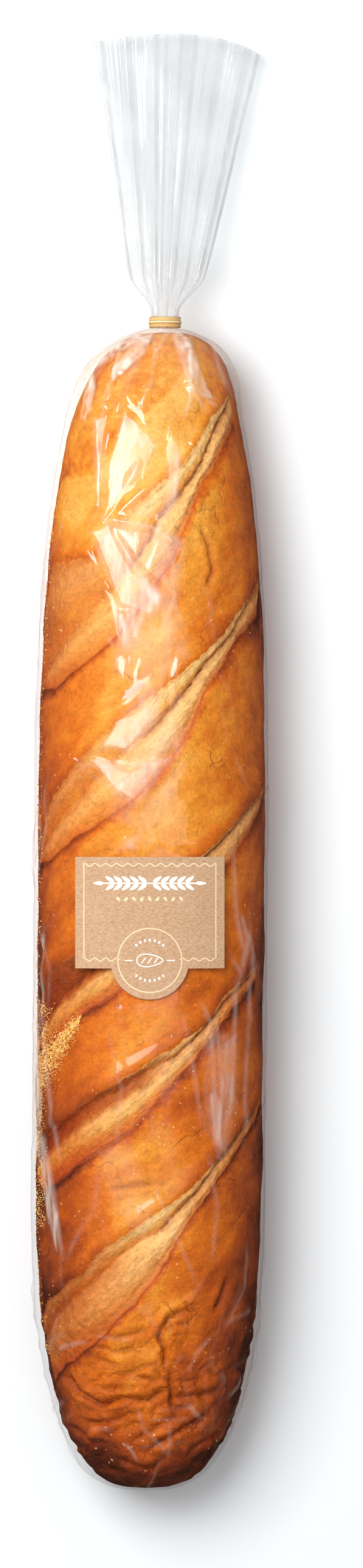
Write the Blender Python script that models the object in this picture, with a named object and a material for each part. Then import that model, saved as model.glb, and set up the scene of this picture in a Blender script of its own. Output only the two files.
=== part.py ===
"""A long French loaf in a clear bag that is gathered and tied at one end.

The bag is one solid from its closed end to the mouth of its gathered tail: it has the
loaf's form where it lies tight on the crust, with the five scored cuts and the cracked
base end in relief. The tie is a ring round the bag's neck. The label is a curved sheet
on the crown. Metres, +Z up, +Y from the closed end towards the tail.
"""

import math

import bmesh
import bpy
from mathutils import Vector, noise

# Length of the bag, from its closed end to the mouth of the tail
BASE_Y = -0.2822
MOUTH_Y = 0.2822

# Filled part of the bag
LOAF_END_Y = 0.1662
HALF_WIDTH = 0.0453
HEIGHT = 0.0660
WIDEST_SHARE = 0.40  # height of the widest point, as a share of the crown's
BASE_DIP = 0.10  # how far the underside would bulge under the floor, before it is cut flat
NECK_TAPER, NECK_FULLNESS = 0.176, 3.6
BASE_TAPER, BASE_FULLNESS = 0.108, 3.0
CROWN_POWER, UNDER_POWER = 2.12, 2.8  # superellipse powers of the section
UNDER_LIFT = 0.6  # how soon the underside rises off the floor towards the ends
LEAN = 0.0034  # sideways drift of the centre line from the closed end to the neck

# Neck, tie and tail
NECK = Vector((0.0059, 0.1687, 0.0270))
NECK_RADIUS = 0.0050
TIE_WIDTH = 0.0040
TIE_INNER, TIE_OUTER = 0.0055, 0.0061
WIRE_RIDGE = 0.0004
TAIL_START_Y = 0.1712
TAIL_FLARE, TAIL_FLARE_LENGTH, TAIL_SPREAD = 0.0072, 0.005, 0.19
TAIL_LEAN = 0.052
TAIL_REST_Z = 0.0070
TAIL_THICKNESS = 0.0014
PLEATS, PLEAT_HEIGHT = 5.5, 0.0021
MOUTH_DROP_LEFT, MOUTH_DROP_RIGHT = 0.0033, 0.0086

# Scored cuts: (turn, y) of the right end and of the left end, where turn is the angle
# from the crown, then how far the cut opens towards the neck and towards the base
CUTS = (
    ((1.12, 0.1440), (-1.20, 0.0330), 0.013, 0.017),
    ((1.12, 0.0630), (-1.24, -0.0190), 0.003, 0.026),
    ((1.30, -0.0130), (-1.24, -0.0900), 0.003, 0.024),
    ((1.05, -0.0810), (-1.20, -0.1530), 0.002, 0.025),
    ((1.28, -0.1320), (-1.12, -0.2090), 0.003, 0.033),
)
CUT_DEPTH = 0.0042
LIP_HEIGHT = 0.0010

# Cracks of the base end: points in plan, then depth
CRACKS = (
    (((0.017, -0.209), (0.008, -0.213), (0.004, -0.220), (0.005, -0.234)), 0.0016),
    (((0.008, -0.234), (0.009, -0.248), (0.012, -0.249)), 0.0014),
    (((-0.033, -0.234), (-0.028, -0.242), (-0.019, -0.247), (-0.011, -0.244), (0.008, -0.240)), 0.0018),
    (((-0.023, -0.253), (-0.016, -0.254), (-0.008, -0.251)), 0.0016),
    (((0.022, -0.251), (0.012, -0.257), (0.005, -0.261), (-0.001, -0.265)), 0.0020),
    (((-0.011, -0.268), (-0.004, -0.271), (0.001, -0.270), (0.007, -0.267)), 0.0016),
    (((0.009, -0.244), (0.021, -0.243), (0.027, -0.241)), 0.0014),
)
CRACK_WIDTH = 0.0013
LUMP_SIZE, LUMP_HEIGHT = 0.016, 0.0013
WRINKLE_Y = -0.205  # the lumps and cracks grow from here to the closed end

# Label
LABEL_X, LABEL_TOP_Y, LABEL_BOTTOM_Y = 0.0002, -0.0372, -0.0797
LABEL_HALF_WIDTH = 0.0285
TAB_Y, TAB_RADIUS = -0.0766, 0.0149
LABEL_GAP, LABEL_THICKNESS = 0.0005, 0.0004

# Mesh
RING_POINTS = 200
RING_STEP = 0.0011
END_GAPS = (0.00001, 0.00008, 0.00025, 0.0006)  # first rings of the closed end
BAG_SHARE_KEPT = 0.057
TAIL_RING_POINTS, TAIL_RINGS = 50, 24
TIE_SIDES = 40
LABEL_COLUMNS = 26

CRUST = (0.60, 0.26, 0.05, 1.0)
FILM = (0.86, 0.87, 0.88, 1.0)
TIE_PAPER = (0.68, 0.49, 0.26, 1.0)
KRAFT = (0.62, 0.40, 0.23, 1.0)


def clear_scene():
    for obj in list(bpy.data.objects):
        bpy.data.objects.remove(obj)


def finish_material(name, colour, roughness, alpha=1.0):
    material = bpy.data.materials.new(name)
    material.use_nodes = True
    shader = material.node_tree.nodes["Principled BSDF"]
    shader.inputs["Base Color"].default_value = colour
    shader.inputs["Roughness"].default_value = roughness
    shader.inputs["Metallic"].default_value = 0.0
    shader.inputs["Alpha"].default_value = alpha
    return material


def mix(a, b, share):
    return a + (b - a) * share


def smooth_step(low, high, value):
    share = min(max((value - low) / (high - low), 0.0), 1.0)
    return share * share * (3 - 2 * share)


def taper(distance, length, fullness):
    """Share of the full width at a distance from a rounded end."""
    rest = 1 - min(max(distance / length, 0.0), 1.0)
    return (1 - rest * rest) ** (1 / fullness)


def body_share(y):
    return taper(LOAF_END_Y - y, NECK_TAPER, NECK_FULLNESS) * taper(y - BASE_Y, BASE_TAPER, BASE_FULLNESS)


def centre_x(y):
    """The loaf bends a little, so its middle drifts to one side at both ends."""
    share = (y - BASE_Y) / (LOAF_END_Y - BASE_Y)
    return LEAN * (share - 0.55) + 0.0035 * smooth_step(0.13, LOAF_END_Y, y)


def crown_height(y):
    """Height of the crown above the floor; it falls towards both ends."""
    middle = 1 - 0.06 * ((y - 0.5 * (BASE_Y + LOAF_END_Y)) / 0.22) ** 2
    return mix(NECK.z, HEIGHT * middle, body_share(y) ** 1.15)


def power(value, exponent):
    return math.copysign(abs(value) ** exponent, value)


def section_point(y, angle):
    """Point of the smooth section at an angle from +X, before the relief."""
    share = body_share(y)
    top = crown_height(y)
    widest = mix(NECK.z, WIDEST_SHARE * top, share)
    bulge = 2 / (CROWN_POWER if angle < math.pi else UNDER_POWER)
    across, up = power(math.cos(angle), bulge), power(math.sin(angle), bulge)
    rise = (top - widest) if up > 0 else (1 + BASE_DIP) * widest * share**UNDER_LIFT
    x = centre_x(y) + HALF_WIDTH * share * across
    return Vector((x, y, widest + rise * up))


def cut_profile(place):
    """Depth across a cut, from its upper edge at 0 to its lower edge at 1."""
    wall = smooth_step(0.0, 0.10, place)
    ridge = math.exp(-(((place - 0.60) / 0.22) ** 2))
    return wall * (1 - 0.62 * ridge) * (1 - 0.45 * smooth_step(0.55, 1.0, place)) * (1 - smooth_step(0.94, 1.0, place))


def cut_relief(turn, y):
    """Height that the scored cuts and their raised lips add to the crust."""
    height = 0.0
    for (right_turn, right_y), (left_turn, left_y), above, below in CUTS:
        run = (right_turn - turn) / (right_turn - left_turn)
        if not 0 < run < 1:
            continue
        opening = run**0.55 * math.sqrt(1 - run**8)
        place = (mix(right_y, left_y, run) + above * opening - y) / ((above + below) * opening)
        if 0 < place < 1:
            height -= CUT_DEPTH * min(1.0, 1.3 * opening) * cut_profile(place)
        lip = math.exp(-(((place + 0.10) / 0.10) ** 2))
        height += LIP_HEIGHT * lip * min(1.0, 1.5 * opening)
    return height


def distance_to_line(point, line):
    nearest = 1.0
    for start, end in zip(line, line[1:]):
        start, end = Vector(start), Vector(end)
        along = end - start
        share = min(max((point - start).dot(along) / along.length_squared, 0.0), 1.0)
        nearest = min(nearest, (start + along * share - point).length)
    return nearest


def base_relief(point):
    """Lumps and cracks of the crust at the closed end."""
    amount = smooth_step(WRINKLE_Y, WRINKLE_Y - 0.03, point.y)
    if amount == 0:
        return 0.0
    lumps = abs(noise.noise(point / LUMP_SIZE)) - 0.3
    height = LUMP_HEIGHT * 2 * lumps * amount
    if point.z > WIDEST_SHARE * HEIGHT * 0.8:
        flat = Vector((point.x, point.y))
        for line, depth in CRACKS:
            height -= depth * math.exp(-((distance_to_line(flat, line) / CRACK_WIDTH) ** 2))
    return height


def under_label(point):
    near_x = 1 - smooth_step(LABEL_HALF_WIDTH + 0.002, LABEL_HALF_WIDTH + 0.007, abs(point.x - LABEL_X))
    middle_y = 0.5 * (LABEL_TOP_Y + TAB_Y - TAB_RADIUS)
    half_y = 0.5 * (LABEL_TOP_Y - TAB_Y + TAB_RADIUS)
    near_y = 1 - smooth_step(half_y + 0.002, half_y + 0.007, abs(point.y - middle_y))
    return near_x * near_y if point.z > WIDEST_SHARE * HEIGHT else 0.0


def bag_point(y, angle):
    """Point on the bag: the smooth section with the relief of the loaf."""
    point = section_point(y, angle)
    share = body_share(y)
    turn = math.asin(min(max((point.x - centre_x(y)) / max(HALF_WIDTH * share, 1e-6), -1.0), 1.0))
    upper = smooth_step(-0.15, 0.25, math.sin(angle))
    height = upper * cut_relief(turn, y) + base_relief(point)
    height = min(height, mix(height, 0.0, under_label(point))) if height > 0 else height
    axis = Vector((centre_x(y), y, 0.5 * crown_height(y)))
    outward = (point - axis).normalized()
    return point + outward * height * min(1.0, share * 1.4)


def ring(mesh, points):
    return [mesh.verts.new(point) for point in points]


def skin(mesh, rings):
    """Closed tube through the rings, with a flat cap at each end."""
    for first, second in zip(rings, rings[1:]):
        for i in range(len(first)):
            j = (i + 1) % len(first)
            mesh.faces.new((first[i], first[j], second[j], second[i]))
    mesh.faces.new(rings[0])
    mesh.faces.new(rings[-1])
    bmesh.ops.recalc_face_normals(mesh, faces=mesh.faces)


def new_object(name, mesh, materials):
    data = bpy.data.meshes.new(name)
    mesh.to_mesh(data)
    mesh.free()
    obj = bpy.data.objects.new(name, data)
    bpy.context.scene.collection.objects.link(obj)
    for material in materials:
        data.materials.append(material)
    return obj


def apply_modifiers(obj):
    """The object's mesh becomes the one that its modifiers make."""
    bpy.context.view_layer.update()
    graph = bpy.context.evaluated_depsgraph_get()
    made = bpy.data.meshes.new_from_object(obj.evaluated_get(graph))
    obj.modifiers.clear()
    obj.data = made


def body_stations():
    """Ring places along the loaf, closer together at the rounded ends."""
    stations = [BASE_Y + gap for gap in END_GAPS]
    count = int((LOAF_END_Y - BASE_Y) / RING_STEP)
    for i in range(count + 1):
        share = i / count
        eased = 0.5 - 0.5 * math.cos(math.pi * share)
        stations.append(mix(stations[len(END_GAPS) - 1] + RING_STEP, LOAF_END_Y, mix(share, eased, 0.35)))
    return stations


def make_filled_bag(material):
    """Loaf and neck, as a fine grid that is then thinned where it is smooth."""
    mesh = bmesh.new()
    angles = [2 * math.pi * i / RING_POINTS for i in range(RING_POINTS)]
    rings = []
    for y in body_stations():
        gather = (1 - body_share(y)) ** 2 if y > 0 else 0.0
        points = []
        for angle in angles:
            round_neck = Vector((math.cos(angle), 0, math.sin(angle))) * NECK_RADIUS
            point = bag_point(y, angle) + round_neck * gather
            point.x += (NECK.x - centre_x(LOAF_END_Y)) * gather
            points.append(point)
        rings.append(ring(mesh, points))
    for y in (LOAF_END_Y + 0.0008, NECK.y, TAIL_START_Y):
        circle = [NECK + Vector((math.cos(a), 0, math.sin(a))) * NECK_RADIUS for a in angles]
        rings.append(ring(mesh, [Vector((p.x, y, p.z)) for p in circle]))
    skin(mesh, rings)
    bag = new_object("bagged_loaf", mesh, [material])
    thin = bag.modifiers.new("thin out", "DECIMATE")
    thin.ratio = BAG_SHARE_KEPT
    apply_modifiers(bag)
    cut_flat(bag)
    return bag


def cut_flat(obj):
    """Cuts the underside off at the floor and closes it with one flat face."""
    mesh = bmesh.new()
    mesh.from_mesh(obj.data)
    everything = mesh.verts[:] + mesh.edges[:] + mesh.faces[:]
    cut = bmesh.ops.bisect_plane(
        mesh, geom=everything, dist=1e-5, plane_co=(0, 0, 0), plane_no=(0, 0, -1), clear_outer=True
    )
    edges = [item for item in cut["geom_cut"] if isinstance(item, bmesh.types.BMEdge)]
    for vert in {vert for edge in edges for vert in edge.verts}:
        vert.co.z = 0.0
    bmesh.ops.contextual_create(mesh, geom=edges)
    bmesh.ops.triangulate(mesh, faces=[face for face in mesh.faces if len(face.verts) > 4])
    bmesh.ops.recalc_face_normals(mesh, faces=mesh.faces)
    mesh.to_mesh(obj.data)
    mesh.free()


def tail_point(share, angle):
    """Point of the gathered tail: round at the neck, then a pleated fan with two faces."""
    upper = angle < math.pi
    across = 1 - 2 * angle / math.pi if upper else 2 * angle / math.pi - 3
    drop = (MOUTH_DROP_LEFT if across < 0 else MOUTH_DROP_RIGHT) * across * across
    start = TAIL_START_Y - 0.0006
    y = mix(start, MOUTH_Y - drop, share)
    distance = y - start
    spread = NECK_RADIUS + TAIL_FLARE * (1 - math.exp(-distance / TAIL_FLARE_LENGTH)) + TAIL_SPREAD * distance
    middle = NECK + Vector((TAIL_LEAN * distance, 0, 0))
    middle.z = mix(NECK.z, TAIL_REST_Z, (distance / (MOUTH_Y - start)) ** 0.9)
    opened = smooth_step(0.0, 0.016, distance)
    flat_side = math.sqrt(max(1 - across * across, 0)) ** 0.5
    half_sheet = 0.5 * TAIL_THICKNESS * flat_side * (1 if upper else -1)
    pleat = math.sin(math.pi * PLEATS * across + 0.6) + 0.45 * math.sin(math.pi * 2.3 * PLEATS * across + 1.9)
    fold = PLEAT_HEIGHT * pleat * smooth_step(0.004, 0.030, distance)
    x = middle.x + mix(NECK_RADIUS * 0.97 * math.cos(angle), spread * across, opened)
    z = middle.z + mix(NECK_RADIUS * 0.97 * math.sin(angle), half_sheet, opened) + fold
    return Vector((x, y, z))


def make_tail():
    mesh = bmesh.new()
    angles = [2 * math.pi * i / TAIL_RING_POINTS for i in range(TAIL_RING_POINTS)]
    rings = []
    for i in range(TAIL_RINGS + 1):
        share = (i / TAIL_RINGS) ** 1.35
        rings.append(ring(mesh, [tail_point(share, angle) for angle in angles]))
    skin(mesh, rings)
    return new_object("tail_to_join", mesh, [])


def join_tail(bag, tail):
    union = bag.modifiers.new("tail", "BOOLEAN")
    union.operation = "UNION"
    union.object = tail
    tail.hide_render = True
    apply_modifiers(bag)
    bpy.data.objects.remove(tail)


def make_tie(material):
    """Paper strip round the neck, with the wire's ridge along its middle."""
    half = 0.5 * TIE_WIDTH
    ridge = TIE_OUTER + WIRE_RIDGE
    profile = (
        (TIE_INNER, -half),
        (TIE_OUTER, -half),
        (TIE_OUTER, -0.0005),
        (ridge, -0.0002),
        (ridge, 0.0002),
        (TIE_OUTER, 0.0005),
        (TIE_OUTER, half),
        (TIE_INNER, half),
    )
    mesh = bmesh.new()
    verts = [mesh.verts.new(NECK + Vector((radius, along, 0))) for radius, along in profile]
    edges = [mesh.edges.new((verts[i - 1], verts[i])) for i in range(len(verts))]
    bmesh.ops.spin(
        mesh, geom=verts + edges, cent=NECK, axis=(0, 1, 0), angle=2 * math.pi, steps=TIE_SIDES, use_merge=True
    )
    bmesh.ops.remove_doubles(mesh, verts=mesh.verts, dist=1e-6)
    bmesh.ops.recalc_face_normals(mesh, faces=mesh.faces)
    return new_object("tie", mesh, [material])


def crown_above(x, y):
    """Height of the smooth crown above a point of the floor."""
    share = body_share(y)
    top = crown_height(y)
    widest = WIDEST_SHARE * top
    across = min(abs(x - centre_x(y)) / (HALF_WIDTH * share), 1.0)
    return widest + (top - widest) * (1 - across**CROWN_POWER) ** (1 / CROWN_POWER)


def label_columns():
    """x places of the label's columns, with one at each side of the tab."""
    reach = math.sqrt(TAB_RADIUS**2 - (LABEL_BOTTOM_Y - TAB_Y) ** 2)
    plain = [mix(-LABEL_HALF_WIDTH, LABEL_HALF_WIDTH, i / LABEL_COLUMNS) for i in range(LABEL_COLUMNS + 1)]
    clear = [x for x in plain if min(abs(x - reach), abs(x + reach)) > 0.0008]
    return sorted(clear + [-reach, reach]), reach


def make_label(material):
    """Curved sheet with a round tab at its lower edge."""
    columns, reach = label_columns()
    mesh = bmesh.new()
    rows = []
    for x in columns:
        low = LABEL_BOTTOM_Y
        if abs(x) < reach:
            low = TAB_Y - math.sqrt(TAB_RADIUS**2 - x * x)
        column = []
        for y in (LABEL_TOP_Y, mix(LABEL_TOP_Y, LABEL_BOTTOM_Y, 0.5), LABEL_BOTTOM_Y, low):
            if y == low and low == LABEL_BOTTOM_Y and len(column) == 6:
                continue
            level = crown_above(LABEL_X + x, TAB_Y) + LABEL_GAP
            for lift in (0.0, LABEL_THICKNESS):
                column.append(mesh.verts.new((LABEL_X + x, y, level + lift)))
        rows.append(column)
    for left, right in zip(rows, rows[1:]):
        close_between(mesh, left, right)
    for column in (rows[0], rows[-1]):
        for i in range(0, len(column) - 2, 2):
            mesh.faces.new((column[i], column[i + 1], column[i + 3], column[i + 2]))
    bmesh.ops.recalc_face_normals(mesh, faces=mesh.faces)
    return new_object("label", mesh, [material])


def close_between(mesh, left, right):
    """Faces between two columns of the label: both sides, and the edges along them."""
    shared = min(len(left), len(right))
    for i in range(0, shared - 2, 2):
        mesh.faces.new((left[i], right[i], right[i + 2], left[i + 2]))
        mesh.faces.new((left[i + 1], right[i + 1], right[i + 3], left[i + 3]))
    mesh.faces.new((left[0], left[1], right[1], right[0]))
    longer, shorter = (left, right) if len(left) > len(right) else (right, left)
    if len(longer) == len(shorter):
        mesh.faces.new((left[-2], left[-1], right[-1], right[-2]))
        return
    mesh.faces.new((longer[-4], shorter[-2], longer[-2]))
    mesh.faces.new((longer[-3], shorter[-1], longer[-1]))
    mesh.faces.new((longer[-2], longer[-1], shorter[-1], shorter[-2]))


def centre_over_origin(objects):
    """Moves everything so that the middle of the whole box's underside is the origin."""
    points = [vert.co for obj in objects for vert in obj.data.vertices]
    low = Vector([min(point[axis] for point in points) for axis in range(3)])
    high = Vector([max(point[axis] for point in points) for axis in range(3)])
    shift = Vector(((low.x + high.x) / -2, (low.y + high.y) / -2, -low.z))
    for obj in objects:
        for vert in obj.data.vertices:
            vert.co += shift


def shade(obj, angle):
    obj.data.shade_smooth()
    obj.data.set_sharp_from_angle(angle=math.radians(angle))


def main():
    clear_scene()
    crust = finish_material("crust under clear film", CRUST, 0.35)
    paper = finish_material("tie paper", TIE_PAPER, 0.55)
    kraft = finish_material("kraft label", KRAFT, 0.85)
    bag = make_filled_bag(crust)
    join_tail(bag, make_tail())
    tie = make_tie(paper)
    label = make_label(kraft)
    centre_over_origin([bag, tie, label])
    shade(bag, 40)
    shade(tie, 35)
    shade(label, 50)


main()
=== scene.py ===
"""A long French loaf in a clear bag that is gathered and tied at one end.

One operator each makes the loaf, the bag with its gathered tail, the tie, the label with
its printed ornament, the loose semolina, and the stage. Metres, +Z up, +Y from the bag's
closed end towards the tail.
"""

import functools
import itertools
import math

import bmesh
import bpy
import numpy as np
from bpy.props import FloatProperty, FloatVectorProperty, IntProperty, PointerProperty
from mathutils import Euler, Matrix, Vector


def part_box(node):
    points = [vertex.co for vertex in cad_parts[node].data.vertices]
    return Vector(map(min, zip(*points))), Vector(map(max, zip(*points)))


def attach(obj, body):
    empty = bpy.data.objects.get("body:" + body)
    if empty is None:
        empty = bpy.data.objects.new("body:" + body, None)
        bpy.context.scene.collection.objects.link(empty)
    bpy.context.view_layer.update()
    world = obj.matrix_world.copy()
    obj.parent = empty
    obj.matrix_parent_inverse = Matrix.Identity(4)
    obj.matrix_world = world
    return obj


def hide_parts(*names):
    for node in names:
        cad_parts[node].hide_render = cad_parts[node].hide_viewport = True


bl_info = {
    "name": "Bagged French Loaf",
    "version": (1, 0, 0),
    "blender": (4, 5, 0),
    "location": "3D View > Sidebar > Loaf",
    "description": "Makes a French loaf in a clear bag with a tied tail, a label and a tie",
    "category": "Object",
}

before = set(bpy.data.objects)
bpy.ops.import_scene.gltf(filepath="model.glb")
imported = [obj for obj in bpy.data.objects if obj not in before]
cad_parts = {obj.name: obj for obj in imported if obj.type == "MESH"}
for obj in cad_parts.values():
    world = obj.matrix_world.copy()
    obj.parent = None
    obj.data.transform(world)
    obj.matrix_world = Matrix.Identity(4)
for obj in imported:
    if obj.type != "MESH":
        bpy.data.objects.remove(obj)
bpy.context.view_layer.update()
BAG_LOW, BAG_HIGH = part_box("bagged_loaf")
TIE_LOW, TIE_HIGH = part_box("tie")
LABEL_LOW, LABEL_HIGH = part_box("label")
NECK = (TIE_LOW + TIE_HIGH) / 2

# Long body, shared by the loaf and the bag round it
SHOULDER_Y = 0.1662
NECK_TAPER, NECK_FULLNESS, NECK_CLOSING = 0.176, 3.6, 0.0040
NECK_DRIFT, NECK_DRIFT_Y = 0.0035, 0.13
CENTRE_X = 0.0004
LEAN, LEAN_PIVOT = 0.0034, 0.55
BAG_HALF_WIDTH, BAG_HEIGHT = 0.0446, 0.0656
CROWN_FALL, CROWN_REACH = 0.06, 0.22
CROWN_POWER, UNDER_POWER = 2.12, 2.8
UNDER_LIFT, BASE_DIP = 0.6, 0.10
WIDEST_SHARE = 0.40
BODY_MIDDLE_Y = 0.5 * (BAG_LOW.y + SHOULDER_Y)

# Steps round and along each tube, the share of those round the loaf that lie on its upper
# side, and the share of all of them that a quick try has
BREAD_MESH = (232, 424)
BAG_MESH, SHOULDER_MESH = (256, 370), (330, 286)
TAIL_MESH = (420, 130)
SEEN_SHARE, QUICK_SHARE = 0.76, 0.6

# Scored cuts, in millimetres from above and from right to left: the upper edge, the crack
# and the lower edge of each. Then how brown its torn wall is, the turn from the crown
# past which it is brown, the turn past which the crack fades, and how torn it looks there
CUTS = (
    (
        (
            (29, 139), (23.5, 131), (18.5, 121.5), (13, 113.5),
            (4, 105.5), (-10, 93.5), (-20.5, 78), (-38, 75),
        ),
        ((30.5, 136.5), (26, 126.5), (18, 108), (4, 92), (0.5, 83.5), (-9, 71), (-20, 58.5), (-37.5, 38.5)),
        (
            (32.5, 131), (28.5, 120.5), (19.5, 103.5), (8, 75),
            (-5, 56), (-16.5, 43), (-27, 35), (-36.5, 27.5),
        ),
        (0.30, -0.30, -0.30, 0.45),
    ),
    (
        (
            (43, 69), (39.5, 63.5), (34, 56), (25, 44), (15, 35),
            (4, 26), (-7, 18), (-21, 6), (-29, -3.5), (-37.5, -18),
        ),
        (
            (43.5, 66.5), (39.5, 62), (32.5, 47.5), (22.5, 36), (15, 26),
            (3.5, 13), (-13, -0.5), (-24.5, -12), (-37.5, -27),
        ),
        (
            (44, 62), (41.5, 56), (34, 46.5), (22.5, 27.5), (16.5, 13),
            (5, -4.5), (-9.5, -17.5), (-24.5, -27.5), (-37.5, -38),
        ),
        (0.40, -0.25, -0.12, 0.50),
    ),
    (
        (
            (44.5, -12), (35, -22.5), (22.5, -35.5), (-1, -54.5), (-15, -68.5),
            (-28, -75), (-34, -78), (-37.5, -82.5), (-41, -92),
        ),
        (
            (44.5, -13), (35, -24), (22.5, -37.5), (-1, -59), (-15, -75.5),
            (-28, -84.5), (-34, -89.5), (-37.5, -94.5), (-41, -102),
        ),
        (
            (45, -18), (36, -32), (22.5, -48.5), (-1, -78), (-12, -88.5),
            (-18, -93), (-26, -98), (-31.5, -104), (-37.5, -109), (-41, -112),
        ),
        (1.0, -0.20, -2.0, 1.0),
    ),
    (
        (
            (39.5, -81), (34, -86), (29, -89.5), (23, -100.5), (12.5, -108),
            (1, -115.5), (-16.5, -126), (-29.5, -135), (-41, -149.5),
        ),
        (
            (40, -82), (31, -91), (22.5, -102), (11, -113.5), (6, -116),
            (1, -118.5), (-16.5, -128.5), (-29.5, -137), (-41, -151),
        ),
        (
            (41, -84), (32.5, -94), (24.5, -106.5), (15, -117.5), (3.5, -130),
            (-6.5, -142), (-20, -150), (-33, -160.5), (-41, -168),
        ),
        (1.0, 0.10, 0.10, 1.0),
    ),
    (
        (
            (43, -132.5), (36.5, -141), (25.5, -154.5), (11, -168), (-4, -177.5),
            (-16.5, -186), (-24.5, -195.5), (-33.5, -203.5), (-40, -210),
        ),
        (
            (43.5, -133.5), (36.5, -142), (27.5, -153.5), (18, -166), (5.5, -179),
            (-4, -184), (-13, -191), (-22, -200), (-39, -218),
        ),
        (
            (44.5, -135), (37, -144.5), (27.5, -160), (15, -176.5), (7, -191.5),
            (-5, -207), (-20.5, -223.5), (-33, -233.5), (-38.5, -239.5),
        ),
        (0.30, -0.15, 0.05, 0.70),
    ),
)
CUT_END_TURN = -1.50
CUT_SLANT = 0.045
CRACK_PLACE = 0.25
OUTER_CRUST, WIDE_CUT, FAR_GAP = 0.035, 0.020, 0.006

# Relief of the crust: how ragged the cuts' edges are, their cracks, the fine grain all over,
# the torn dough and the wrinkles of the base end
RAGGED_EDGE, CRACK_GROOVE = 0.0009, 0.0006
FINE_RELIEF, TORN_RELIEF, BASE_RELIEF = 0.00022, 0.00035, 0.0022

# Height of the crust at each place across a cut, from 0 to 1, and below it, from 1 to 2
CUT_PROFILE = (
    (0.00, 0.0005), (0.06, 0.0000), (0.16, -0.0005), (0.25, -0.0017), (0.31, -0.0012),
    (0.42, -0.0005), (0.60, 0.0), (0.80, -0.0007), (0.93, -0.0014), (1.00, -0.0006),
    (1.07, 0.0004), (1.25, 0.0), (1.80, 0.0), (1.93, 0.0007), (2.00, 0.0005),
)

# Cracks in the crust, most of them at the base end, in millimetres from above, and their depth
BASE_CRACKS = (
    (((17, -209), (8, -213), (4, -220), (6, -225), (6, -234)), 1.6),
    (((4, -230), (-2, -232), (-10, -236)), 1.0),
    (((8, -234), (9, -248), (12, -249)), 1.4),
    (((-32, -234), (-27, -242), (-18, -247), (-10, -244), (0, -245), (4, -242), (8, -240)), 1.8),
    (((-23, -254), (-16, -254), (-8, -251)), 1.6),
    (((22, -251), (12, -257), (5, -261), (-1, -265)), 2.0),
    (((-11, -268), (-4, -271), (1, -272), (7, -267)), 1.6),
    (((9, -244), (21, -243), (27, -241)), 1.4),
    (((-30, -256), (-22, -262), (-14, -262)), 1.2),
    (((14, -268), (20, -262), (28, -259)), 1.2),
    (((20, 89), (23, 82), (25, 72), (22, 66)), 0.9),
    (((-16, -164), (-8, -163), (-4, -162), (4, -162)), 0.9),
    (((30, -199), (28, -205), (25, -211)), 1.4),
    (((-9, 23), (-5, 27), (-1, 28)), 0.8),
)

# Creases of the film, in millimetres from above: line, width, height, haze, partly painted highlight along
# the crease
FAN_CREASES = (
    (((1, 164), (-9, 157), (-13, 146)), 4.0, 1.3, 0.30),
    (((1, 162), (-5, 155), (-12, 146)), 3.0, 0.9, 0.30),
    (((2, 165), (3, 156), (1, 144), (-3, 136)), 1.6, 0.7, 0.16),
    (((7, 165), (3, 156)), 2.0, 0.8, 0.24),
    (((8, 166), (11, 158), (14, 146), (15, 144)), 3.0, 1.1, 0.34),
    (((14, 165), (15, 152), (15, 138), (13, 129)), 2.6, 0.9, 0.22),
    (((16, 165), (22, 161), (24, 155), (26, 148), (28, 143)), 3.0, 1.1, 0.26),
    (((20, 164), (28, 157), (31, 148), (33, 138)), 3.0, 1.0, 0.22),
    (((14, 144), (22, 133)), 1.8, 0.7, 0.20),
    (((15, 144), (25, 135)), 1.8, 0.7, 0.20),
    (((-1, 164), (-21, 153), (-29, 143), (-33, 131)), 4.5, 1.4, 0.34),
    (((-20, 152), (-20, 143), (-22, 133), (-24, 129)), 3.0, 1.2, 0.30),
    (((-13, 146), (-16, 138), (-17, 129)), 1.6, 0.6, 0.14),
)
CROWN_CREASES = (
    (((-19, 130), (-19, 111), (-18, 101)), 1.5, 0.40, 0.05),
    (((-16, 129), (-17, 101)), 1.4, 0.35, 0.05),
    (((-8, 131), (-11, 123), (-13, 110), (-14, 98)), 3.0, 0.6, 0.05),
    (((-2, 131), (1, 119), (-3, 112), (-14, 97)), 3.0, 0.7, 0.05),
    (((-17, 92), (-10, 82), (4, 58)), 2.2, 0.9, 0.14),
    (((-17, 92), (1, 89), (11, 82)), 2.6, 0.9, 0.14),
    (((-20, 85), (-14, 68), (-7, 56), (-9, 39)), 4.0, 1.1, 0.16),
    (((10, 119), (11, 108), (9, 101), (4, 86)), 3.0, 0.9, 0.18),
    (((-13, 59), (-10, 49), (-8, 41)), 2.4, 0.8, 0.10),
    (((5, 32), (-1, 18), (-13, 5)), 3.4, 1.0, 0.12),
    (((-13, 5), (-1, 11), (4, 21)), 2.4, 0.7, 0.08),
    (((-26, -2), (-9, -3), (7, -1)), 3.2, 1.0, 0.12),
    (((7, -1), (-5, -18), (-26, -2)), 3.0, 0.9, 0.10),
    (((20, 68), (24, 58), (21, 49)), 2.0, 0.5, 0.05),
    (((-9, -30), (-7, -33), (-3, -34)), 2.0, 0.7, 0.10),
)
LOWER_CREASES = (
    (((20, -92), (24, -106), (25, -130)), 1.6, 0.5, 0.14),
    (((13, -98), (17, -118), (20, -141)), 1.6, 0.5, 0.14),
    (((32, -31), (33, -59), (36, -76)), 2.0, 0.7, 0.18),
    (((35, -59), (37, -69), (34, -83)), 2.0, 0.9, 0.30),
    (((25, -96), (28, -125), (26, -149)), 1.6, 0.5, 0.20),
    (((33, -83), (32, -118), (30, -141)), 2.0, 0.6, 0.20),
    (((38, -60), (38, -100), (35, -150)), 2.0, 0.6, 0.16),
    (((-15, -104), (-10, -125), (-12, -153)), 1.6, 0.4, 0.10),
    (((1, -160), (13, -188), (18, -200)), 2.0, 0.5, 0.10),
    (((22, -150), (26, -170), (24, -192)), 1.6, 0.5, 0.12),
    (((-40, -141), (-35, -165), (-32, -191)), 4.0, 1.4, 0.30),
    (((-40, -94), (-37, -130), (-33, -153)), 3.0, 0.9, 0.16),
)
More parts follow.
